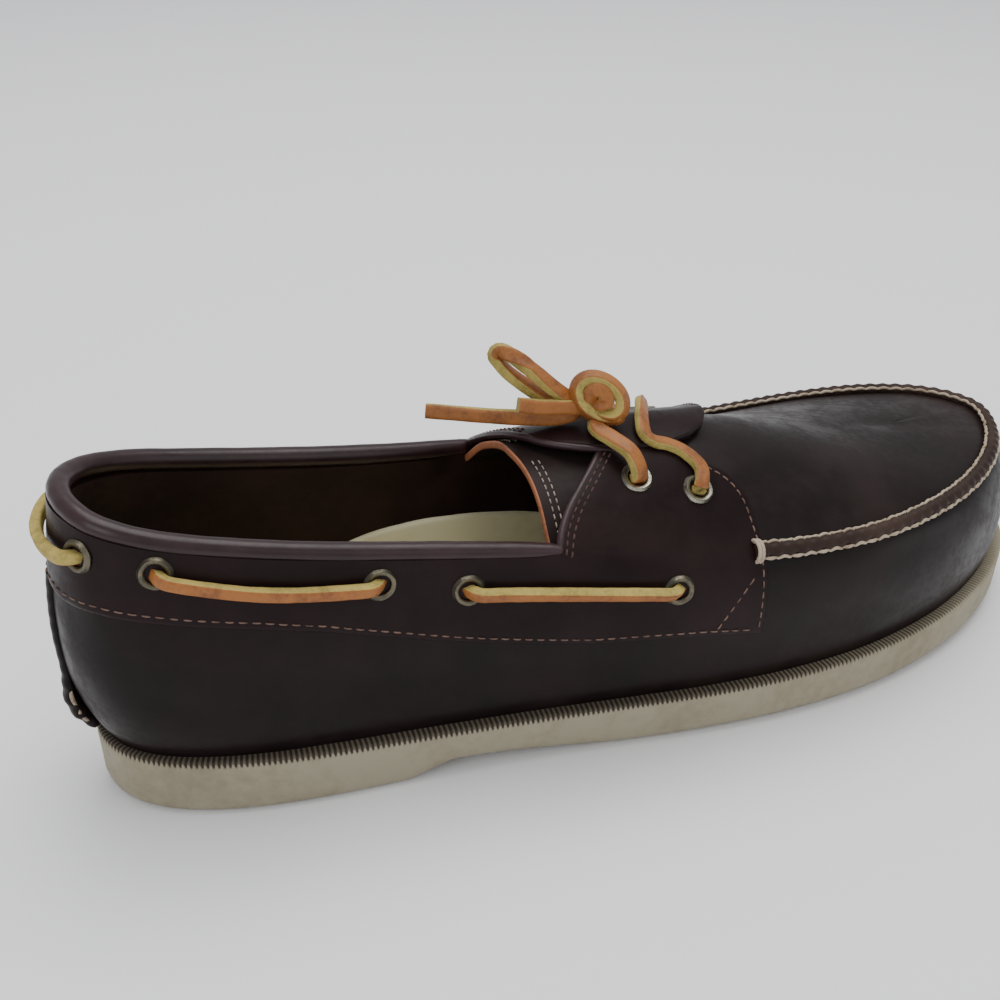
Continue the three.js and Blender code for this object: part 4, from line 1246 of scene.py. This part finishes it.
def saddle_lift(q: Array, v: Array) -> Array:
    """How far the saddle's free edge curls up: most at the inner side's front corner."""
    station, inner = LAST.station(q), LAST.inner(q)
    high = band_high(q)
    near_edge = smoothstep(v, high - np.where(inner, 0.8, 0.35), high) * smoothstep(v, 1.0, 1.3)
    along = smoothstep(station, 8.1, 9.0)
    front = smoothstep(station, 9.4, 10.5) * np.where(inner, 0.9, 0.3)
    return near_edge * (along * np.where(inner, 1.4, 0.5) + front)


# Creases of the lower body: station, wall position, reach in stations and in wall positions, and depth
# in millimetres.
BODY_CREASES = ((12.1, 0.62, 0.55, 0.16, 0.5), (12.7, 0.7, 0.6, 0.14, 0.45), (13.3, 0.66, 0.5, 0.13, 0.35),
                (11.4, 0.3, 0.7, 0.12, 0.35), (5.2, 0.32, 1.6, 0.13, 0.7), (2.6, 0.3, 1.0, 0.12, 0.5),
                (8.1, 0.24, 1.4, 0.1, 0.5))


@dataclass
class Upper:
    """Lower body, collar band with saddles, padded roll, lining, plug with tongue, and seams."""

    wardrobe: "Wardrobe"
    base: float = -0.35
    wall: float = 1.8
    band_top: float = 0.55
    roll_radius: float = 2.85
    tongue_depth: float = 3.5
    tongue_thickness: float = 1.9
    seam_level: tuple[float, float] = (0.962, 1.0)

    def creases(self, q: Array, v: Array) -> Array:
        """Listed creases and slack in the lower body, as a height in millimetres."""
        station = LAST.station(q)
        far = LAST.inner(q)
        height = np.zeros(np.broadcast(q, v).shape)
        for centre, level, long, tall, depth in BODY_CREASES:
            slant = level + (station - centre) * np.where(far, 0.02, -0.03)
            height -= depth * bump(station, centre, long) * bump(v, slant, tall)
        slack = np.sin(station * 2.1 + 5 * v + far) * np.sin(9 * v + 0.7 * station)
        height += 0.22 * slack * smoothstep(v, 0.05, 0.3)
        tuck = np.exp(-np.clip(v, 0, 1) / 0.035)
        return height - 0.5 * tuck

    def build_body(self) -> None:
        """Outer wall of the quarters and toe, from the sole to the rim line, as one closed band."""
        q = np.linspace(0, RING, 577)[:-1]
        share = np.concatenate([[0, 0.008, 0.02, 0.04], np.linspace(0.06, 1, 50)])
        end = np.where(LAST.station(q) < 7.9, 0.95, 1.0)
        Q = np.broadcast_to(q[:, None], (q.size, share.size))
        V = end[:, None] * share[None, :]
        seam = np.exp(-((1 - V) / 0.045) ** 2) * (LAST.station(Q) > 10.3)
        pucker = 0.18 * np.cos(2 * np.pi * Q * 22 / 4.2) * np.exp(-((1 - V) / 0.1) ** 2) * (LAST.station(Q) > 10.3)
        height = self.base + self.creases(Q, V) - 0.4 * seam + pucker
        top = LAST.offset(Q, V, height)
        top[:, 0, 2] -= 1.2
        bottom = LAST.offset(Q, V, self.base - self.wall)
        bottom[:, 0, 2] = top[:, 0, 2]
        vertices, faces = shell(top, bottom, closed_rows=True)
        obj = add_mesh("upper_body", vertices, faces, self.wardrobe.body)
        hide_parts("upper")

    def build_band(self) -> None:
        """Collar band and both saddles: a strip over the body whose edges round down to it."""
        fronts = [band_front(side) for side in (Side.MEDIAL, Side.LATERAL)]
        even_rows = -fronts[0] + sum(fronts) * edge_spacing(480, (0.0012, 0.003, 0.006))
        close = np.linspace(7.96, 8.6, 50)
        q = np.unique(np.concatenate([even_rows, close, -close, np.linspace(-10.74, -10.2, 30)]))
        share = edge_spacing(64, (0.006, 0.016, 0.03))
        Q = np.broadcast_to(q[:, None], (q.size, share.size))
        low, high = band_low(q)[:, None], band_high(q)[:, None]
        V = low + share[None, :] * (high - low)
        span = (high - low) * 52
        front = (np.where(Q < 0, *fronts) - np.abs(Q)) * 22
        free = np.where(LAST.station(Q) > 8.0, (1 - share[None, :]) * span, 99.0)
        sides = np.minimum(share[None, :] * span, front)
        rise = rounded(sides, 1.0)
        height = self.base + (self.band_top - self.base) * rise
        above = smoothstep(V, 0.97, 1.08) * smoothstep(np.abs(Q), 7.6, 8.0)
        height = height * (1 - above) + (0.1 + 0.45 * rounded(sides, 1.0)) * above
        lift = saddle_lift(Q, V)
        height = height + lift - 0.8 * (1 - rounded(free, 1.0)) + 0.12 * np.sin(Q * 3.3) * np.sin(V * 14)
        under = np.where(V < 1, self.base - 0.8, self.base - 0.8 - 0.55 * above) + lift
        top, bottom = LAST.offset(Q, V, height), LAST.offset(Q, V, under)
        vertices, faces = shell(top, bottom)
        add_mesh("collar_band", vertices, faces, self.wardrobe.band)

    def build_roll(self) -> None:
        """Padded top edge: a round section along the collar, with slight gathers, tapering at the saddles."""
        q = np.linspace(-8.06, 8.06, 640)
        station = np.abs(q)
        radius = np.interp(station, [0, 6.4, 7.4, 7.9, 8.06], [1, 1, 0.92, 0.8, 0.6]) * self.roll_radius
        centre = LAST.offset(q, np.ones_like(q), self.band_top - 0.1 - radius)
        gather = 1 + 0.012 * np.sin(q * 9) * np.sin(q * 3.1)
        section = (circle(22) * (1, 0.96))[None] * (radius * gather)[:, None, None]
        vertices, faces = sweep(centre, np.array([0, 0, 1.0]), section)
        obj = add_mesh("collar_roll", vertices, faces, self.wardrobe.roll, sharp=80)

    def saddle_rim_line(self, side: Side, inset: float = 0.0) -> tuple[Array, Array]:
        """Ring and wall positions along the saddle's rear edge, moved in along the shoe by inset stations."""
        line = spline(BAND_HIGH[side][REAR_ROWS], 14)
        return side.ring(line[:, 0] + inset), line[:, 1] - 0.25 * inset

    def build_saddle_rims(self) -> None:
        """Folded rear edge of each saddle, a slim round bead."""
        for side in Side:
            q, v = self.saddle_rim_line(side)
            height = saddle_lift(q, v) - 0.5
            path = even(LAST.offset(q, v, height), 0.8)
            normal = LAST.normal(side.ring(8.5), 1.4 if side is Side.LATERAL else 1.8)
            radius = 1.15 * np.interp(np.linspace(0, 1, len(path)), [0, 0.08, 0.85, 1], [0.9, 1, 0.9, 0.45])
            vertices, faces = sweep(path, normal, circle(14)[None] * radius[:, None, None])
            add_mesh(f"saddle_rim_{side.value}", vertices, faces, self.wardrobe.roll, sharp=80)

    def build_lining(self) -> None:
        """Inside face of the upper, from the footbed to the roll and on to the toe."""
        q = np.linspace(0, RING, 289)[:-1]
        share = np.linspace(0, 1, 30)
        end = np.where(LAST.station(q) < 8.0, 0.955, 0.99)
        Q = np.broadcast_to(q[:, None], (q.size, share.size))
        V = end[:, None] * share[None, :]
        slack = 0.25 * np.sin(Q * 1.7 + 3 * V) * np.sin(8 * V)
        inner = self.base - self.wall - 0.3
        top = LAST.offset(Q, V, inner + 0.15)
        bottom = LAST.offset(Q, V, inner - 0.5 + slack - 1.6 * smoothstep(V, 0.7, 1.0) * (LAST.station(Q) < 7.6))
        vertices, faces = shell(top, bottom, closed_rows=True)
        add_mesh("lining", vertices, faces, self.wardrobe.lining)

    def plug_start(self, across: Array) -> Array:
        """Station of the tongue's rear edge: furthest back at the sides."""
        return 7.97 + 0.06 * bump(np.abs(across), 0.4, 0.4)

    def plug_edge(self, station: Array) -> Array:
        """Half width of the plug and tongue, as a share from the ridge: 1 is the seam."""
        return np.interp(station, [7.7, 8.0, 8.6, 9.5, 10.25, 10.4], [1.0, 1.0, 0.96, 0.93, 0.93, 1.0])

    def plug_height(self, station: Array, across: Array) -> Array:
        """The plug lies on the last and sinks under the saddles to become the tongue."""
        sunk = 1 - smoothstep(station, 8.8, 10.6)
        soft = 0.3 * np.sin(station * 2.3 + 4 * across) * (1 - sunk)
        dip = 0.35 * bump(station, 11.8, 0.7) * bump(across, 0.1, 0.8)
        rim = np.exp(-((1 - np.abs(across)) / 0.07) ** 2) * (1 - sunk)
        middle = 1 - smoothstep(np.abs(across), 0.6, 1)
        flare = 0.55 * self.tongue_depth * (1 - smoothstep(station, 7.8, 8.7)) * middle
        return -0.15 - self.tongue_depth * sunk + flare + 0.35 * soft - 0.4 * dip * (1 - sunk) - 0.35 * rim

    def plug_point(self, station: Array, across: Array, height: Array | float = 0.0) -> Array:
        """Point of the plug: across runs from -1, the outer side's seam, over the ridge to 1."""
        q = LAST.ring_over(station, across)
        return LAST.offset(q, 2 - np.abs(across), self.plug_height(station, across) + height)

    def build_plug(self) -> None:
        """Plug and tongue as one sheet from the throat to the toe, eased across the ridge."""
        rows = np.concatenate([np.linspace(0, 0.2, 50)[:-1], np.linspace(0.2, 1, 150)])
        share = 2 * edge_spacing(96, (0.004, 0.012, 0.025)) - 1
        start = self.plug_start(share)[None, :]
        S = start + (LAST_STATION - start) * rows[:, None]
        A = share[None, :] * self.plug_edge(S)
        top = self.plug_point(S, A)
        bottom = self.plug_point(S, A, -self.tongue_thickness)
        ease = 0.5 * bump(share, 0.0, 0.4)[None, 1:-1, None]
        for sheet in (top, bottom):
            for _ in range(40):
                sheet[:, 1:-1] += ease * ((sheet[:, :-2] + sheet[:, 2:]) / 2 - sheet[:, 1:-1])
        vertices, faces = shell(top, bottom)
        obj = add_mesh("plug_and_tongue", vertices, faces[:, ::-1], self.wardrobe.plug)
        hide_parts("tongue")

    def build_gusset(self) -> None:
        """Turned-in tan leather under the roll's outer end, a flat wedge that widens to the tongue."""
        station = np.linspace(7.3, 8.0, 30)
        share = np.linspace(0, 1, 10)
        reach = 2.6 + (3.0 + 6.0 * (station - 7.3) / 0.7)[:, None] * share[None, :]
        q = np.broadcast_to(station[:, None], reach.shape)
        top = LAST.offset(q, 0.99 - 0.012 * share[None, :], -reach)
        vertices, faces = shell(top, top - np.array([0, 0, 1.1]))
        add_mesh("gusset", vertices, faces[:, ::-1], self.wardrobe.raw_edge)

    def build_tongue_edge(self) -> None:
        """Raw cut edge along the rear of the tongue, a thin strip proud of it."""
        across = np.linspace(-0.99, 0.99, 160)
        station = self.plug_start(across) - 0.012
        path = self.plug_point(station, across, -self.tongue_thickness / 2)
        q = LAST.ring_over(station, across)
        section = lace_section(0.7, self.tongue_thickness + 0.1, 12)
        vertices, faces = sweep(path, LAST.normal(q, 2 - np.abs(across)), section)
        add_mesh("tongue_raw_edge", vertices, faces, self.wardrobe.raw_edge, sharp=80)

    def build_heel_seam(self) -> None:
        """Puckered ridge down the back of the heel."""
        v = np.linspace(0.03, 0.70, 120)
        path = LAST.offset(np.zeros_like(v), v, -0.3 + heel_pucker(v))
        along = np.linspace(0, 1, v.size)
        low = bump(along, 0.14, 0.16)
        swell = 1 + (0.03 + 0.14 * low) * np.sin(along * 2 * np.pi * 11) + 0.8 * low
        oval = circle(14) * (2.3, 1.3)
        vertices, faces = sweep(path, np.array([-1.0, 0, 0.2]), oval[None] * swell[:, None, None])
        add_mesh("heel_seam", vertices, faces, self.wardrobe.body, sharp=80)

    def seam_height(self, q: Array) -> Array:
        """Wall position of the moccasin seam: a little lower on the outer side."""
        outer, inner = self.seam_level
        return outer + (inner - outer) * smoothstep(q, 15.5, 21)

    def seam_frame(self) -> tuple[Array, Array, Array, Array]:
        """Even path along the moccasin seam with its up and side directions and ring positions."""
        q = np.linspace(10.36, RING - 10.66, 2400)
        path = LAST.point(q, self.seam_height(q))
        along = running_length(path)
        q = np.interp(np.arange(0, along[-1], 0.35), along, q)
        path = LAST.point(q, self.seam_height(q))
        up = unit(1.3 * LAST.normal(q, np.full(q.shape, 0.94)) + LAST.normal(q, np.full(q.shape, 1.06)))
        return q, path, up, unit(np.cross(unit(np.gradient(path, axis=0)), up))

    def build_moc_seam(self) -> None:
        """Rolled seam round the toe: an oval ridge pinched at each stitch, and a thick thread on either side.

        Each thread dips at the stitch holes: its height follows |sin| of the length along the seam.
        """
        _, path, up, side = self.seam_frame()
        along = np.arange(len(path)) * 0.35
        pitch = 4.1
        pinch = 1 - 0.1 * np.cos(2 * np.pi * along / pitch)
        section = (circle(16) * (2.0, 1.8))[None] * pinch[:, None, None]
        vertices, faces = sweep(path + up * 0.5, up, section)
        add_mesh("moc_seam_roll", vertices, faces, self.wardrobe.ridge, sharp=80)
        for name, sign, shift in (("plug", -1, 0.0), ("wall", 1, pitch / 2)):
            phase = np.pi * (along + shift) / pitch
            hump = np.abs(np.sin(phase))
            height = 0.45 + 0.38 * hump
            sway = sign * (2.2 + 0.18 * np.cos(2 * phase) * np.sign(np.sin(phase)))
            line = path + up * height[:, None] + side * sway[:, None]
            radius = 0.33 + 0.17 * hump**0.5
            vertices, faces = sweep(line, up, circle(8)[None] * radius[:, None, None])
            add_mesh(f"moc_thread_{name}", vertices, faces, self.wardrobe.seam_thread, sharp=85)

    def build_seam_ends(self) -> None:
        """Thread wrapped over each end of the seam."""
        for side_name, at in (("lateral", 0), ("medial", -1)):
            _, path, up, side = self.seam_frame()
            angle = np.linspace(-0.15, np.pi + 0.15, 26)
            centre = path[at] + up[at] * 0.1
            parts = []
            for shift in (0.0, 1.0):
                along = unit(path[at] - path[(3 if at == 0 else -4)])
                line = (centre - along * shift + np.cos(angle)[:, None] * side[at] * 2.9
                        + np.sin(angle)[:, None] * up[at] * 2.8)
                parts.append(sweep(line, along, 0.55 * circle(8)))
            vertices, faces = join(parts)
            add_mesh(f"moc_tack_{side_name}", vertices, faces, self.wardrobe.seam_thread, 85)

    def build(self) -> None:
        """Every piece of the upper."""
        self.build_body()
        self.build_band()
        self.build_roll()
        self.build_saddle_rims()
        self.build_lining()
        self.build_plug()
        self.build_tongue_edge()
        self.build_gusset()
        self.build_heel_seam()
        self.build_moc_seam()
        self.build_seam_ends()


# ---------------------------------------------------------------- stitching

@dataclass
class StitchRow:
    """Evenly spaced stitches along a path on the leather."""

    name: str
    path: Array
    up: Array
    pitch: float = 3.2
    length: float = 2.3
    radius: float = 0.3

    def body(self) -> tuple[Array, list]:
        """One mesh of all stitches: a slim capsule copied to each place as whole arrays."""
        along = running_length(self.path)
        places = np.arange(self.pitch / 2, along[-1], self.pitch)
        centre, up = values_at(places, along, self.path), values_at(places, along, self.up)
        ahead, behind = (values_at(places + step, along, self.path) for step in (0.3, -0.3))
        tangent = unit(ahead - behind)
        up = unit(up - tangent * np.sum(up * tangent, -1, keepdims=True))
        side = np.cross(tangent, up)
        u = np.array([-1, -0.8, -0.3, 0.3, 0.8, 1.0])
        girth = np.array([0.25, 0.8, 1.0, 1.0, 0.8, 0.25]) * self.radius
        sink = np.array([-0.55, -0.1, 0.2, 0.2, -0.1, -0.55]) * self.radius
        angle = 2 * np.pi * np.arange(6) / 6
        local = np.stack([np.broadcast_to((u * self.length / 2)[:, None], (6, 6)),
                          girth[:, None] * np.cos(angle), sink[:, None] + girth[:, None] * np.sin(angle)], -1)
        axes = np.stack([tangent, side, up], 1)
        points = centre[:, None, None] + np.einsum("rcj,nji->nrci", local, axes)
        tube = grid_faces(6, 6, closed_columns=True)
        caps = [list(range(6)), list(range(30, 36))[::-1]]
        base = np.arange(len(places))[:, None, None] * 36
        quads = (tube[None] + base).reshape(-1, 4).tolist()
        ends = [[i + 36 * k for i in cap] for k in range(len(places)) for cap in caps]
        return points.reshape(-1, 3), quads + ends


@dataclass
class Stitching:
    """Every fine row of stitches on the leather."""

    upper: Upper
    wardrobe: "Wardrobe"

    def on_last(self, q: Array, v: Array, height: Array | float) -> tuple[Array, Array]:
        """Path and up directions at a height over the last."""
        return LAST.offset(q, v, height), LAST.normal(q, v)

    def add(self, name: str, rows: Sequence[StitchRow], material: bpy.types.Material, slot: str) -> None:
        """One piece of several rows."""
        vertices, faces = join([row.body() for row in rows])
        add_mesh(name, vertices, faces, material, sharp=85)

    def band_rows(self) -> list[StitchRow]:
        """Row along the band's lower edge and up its front, and the slanted row before it."""
        q = np.linspace(2 * EDGE_INSET - band_front(Side.MEDIAL), band_front(Side.LATERAL) - 2 * EDGE_INSET, 900)
        top = self.upper.band_top + 0.02
        rows = [StitchRow("low", *self.on_last(q, band_low(q) + 0.035, top), 3.2, 2.2, 0.24)]
        for side in Side:
            end = band_front(side) - EDGE_INSET
            v = np.linspace(0.36, 0.97, 90)
            rows.append(StitchRow("front", *self.on_last(side.ring(np.full(90, end)), v, top), 3.2, 2.2, 0.24))
            share = np.linspace(0, 1, 60)
            rows.append(StitchRow("slant", *self.on_last(side.ring(end - 0.1 - 0.42 * share), 0.74 - 0.35 * share,
                                                         top), 3.0, 2.1, 0.24))
        return rows

    def saddle_front_rows(self) -> list[StitchRow]:
        """Row inside the rounded front of each saddle, following its outline."""
        rows = []
        for side in Side:
            line = spline(BAND_HIGH[side][FRONT_ROWS], 16)
            station, v = line[:, 0] - 0.06 * smoothstep(line[:, 0], 9.9, 10.4), line[:, 1] - 0.045
            seen = v < STITCHED_UP_TO
            q, v = side.ring(station[seen]), np.maximum(v[seen], 1.0)
            rows.append(StitchRow("round", *self.on_last(q, v, 0.6 + saddle_lift(q, v)), 2.6, 1.9, 0.24))
        return rows

    def saddle_rear_rows(self) -> list[StitchRow]:
        """Two dark rows beside each saddle's folded rear edge."""
        rows = []
        for side in Side:
            for inset in (0.055, 0.115):
                q, v = self.upper.saddle_rim_line(side, inset)
                q, v = q[v < STITCHED_UP_TO], v[v < STITCHED_UP_TO]
                rows.append(StitchRow("rear", *self.on_last(q, v, 0.58 + saddle_lift(q, v)), 2.4, 1.7, 0.28))
        return rows

    def tongue_rows(self) -> list[StitchRow]:
        """Two pale rows inside the tongue's rear edge."""
        rows = []
        for sign in (-1, 1):
            across = sign * np.linspace(0.22, 0.93, 90)
            for inset in (0.12, 0.2):
                station = self.upper.plug_start(across) + inset
                path = self.upper.plug_point(station, across, 0.12)
                q = LAST.ring_over(station, across)
                rows.append(StitchRow("tongue", path, LAST.normal(q, 2 - np.abs(across)), 2.2, 1.5, 0.22))
        return rows

    def heel_rows(self) -> list[StitchRow]:
        """Hand stitches across the heel seam, thickest near the sole."""
        rows = []
        for sign in (-1, 1):
            v = np.linspace(0.06, 0.22, 60)
            path, up = self.on_last(np.full(60, 0.3 * sign), v, 0.5 + 0.7 * heel_pucker(v))
            rows.append(StitchRow("heel", path, up, 6.5, 4.6, 0.6))
        return rows

    def build(self) -> None:
        """All rows."""
        w = self.wardrobe
        self.add("stitches_band", self.band_rows(), w.fine_thread, "upper_leather")
        self.add("stitches_saddle_front", self.saddle_front_rows(), w.fine_thread, "upper_leather")
        self.add("stitches_saddle_rear", self.saddle_rear_rows(), w.dark_thread, "upper_leather")
        self.add("stitches_tongue", self.tongue_rows(), w.tongue_thread, "tongue_leather")
        self.add("stitches_heel", self.heel_rows(), w.seam_thread, "upper_leather")


def main() -> None:
    """Builds the studio, the laces and then the shoe from the sole up."""
    wardrobe = Wardrobe()
    studio = Studio()
    studio.build_camera()
    laces = FreeLace()
    laces.build_near(wardrobe.lace)
    laces.build_far(wardrobe.lace)
    studio.build_floor()
    studio.build_lights()
    LaceBars().build(wardrobe.lace)
    Eyelets().build(wardrobe.brass, wardrobe.worn_brass)
    Outsole().build(wardrobe.rubber_edge, wardrobe.rubber)
    Insole().build(wardrobe.insole, wardrobe.wing)
    upper = Upper(wardrobe)
    upper.build()
    Stitching(upper, wardrobe).build()


if __name__ == "__main__":
    main()
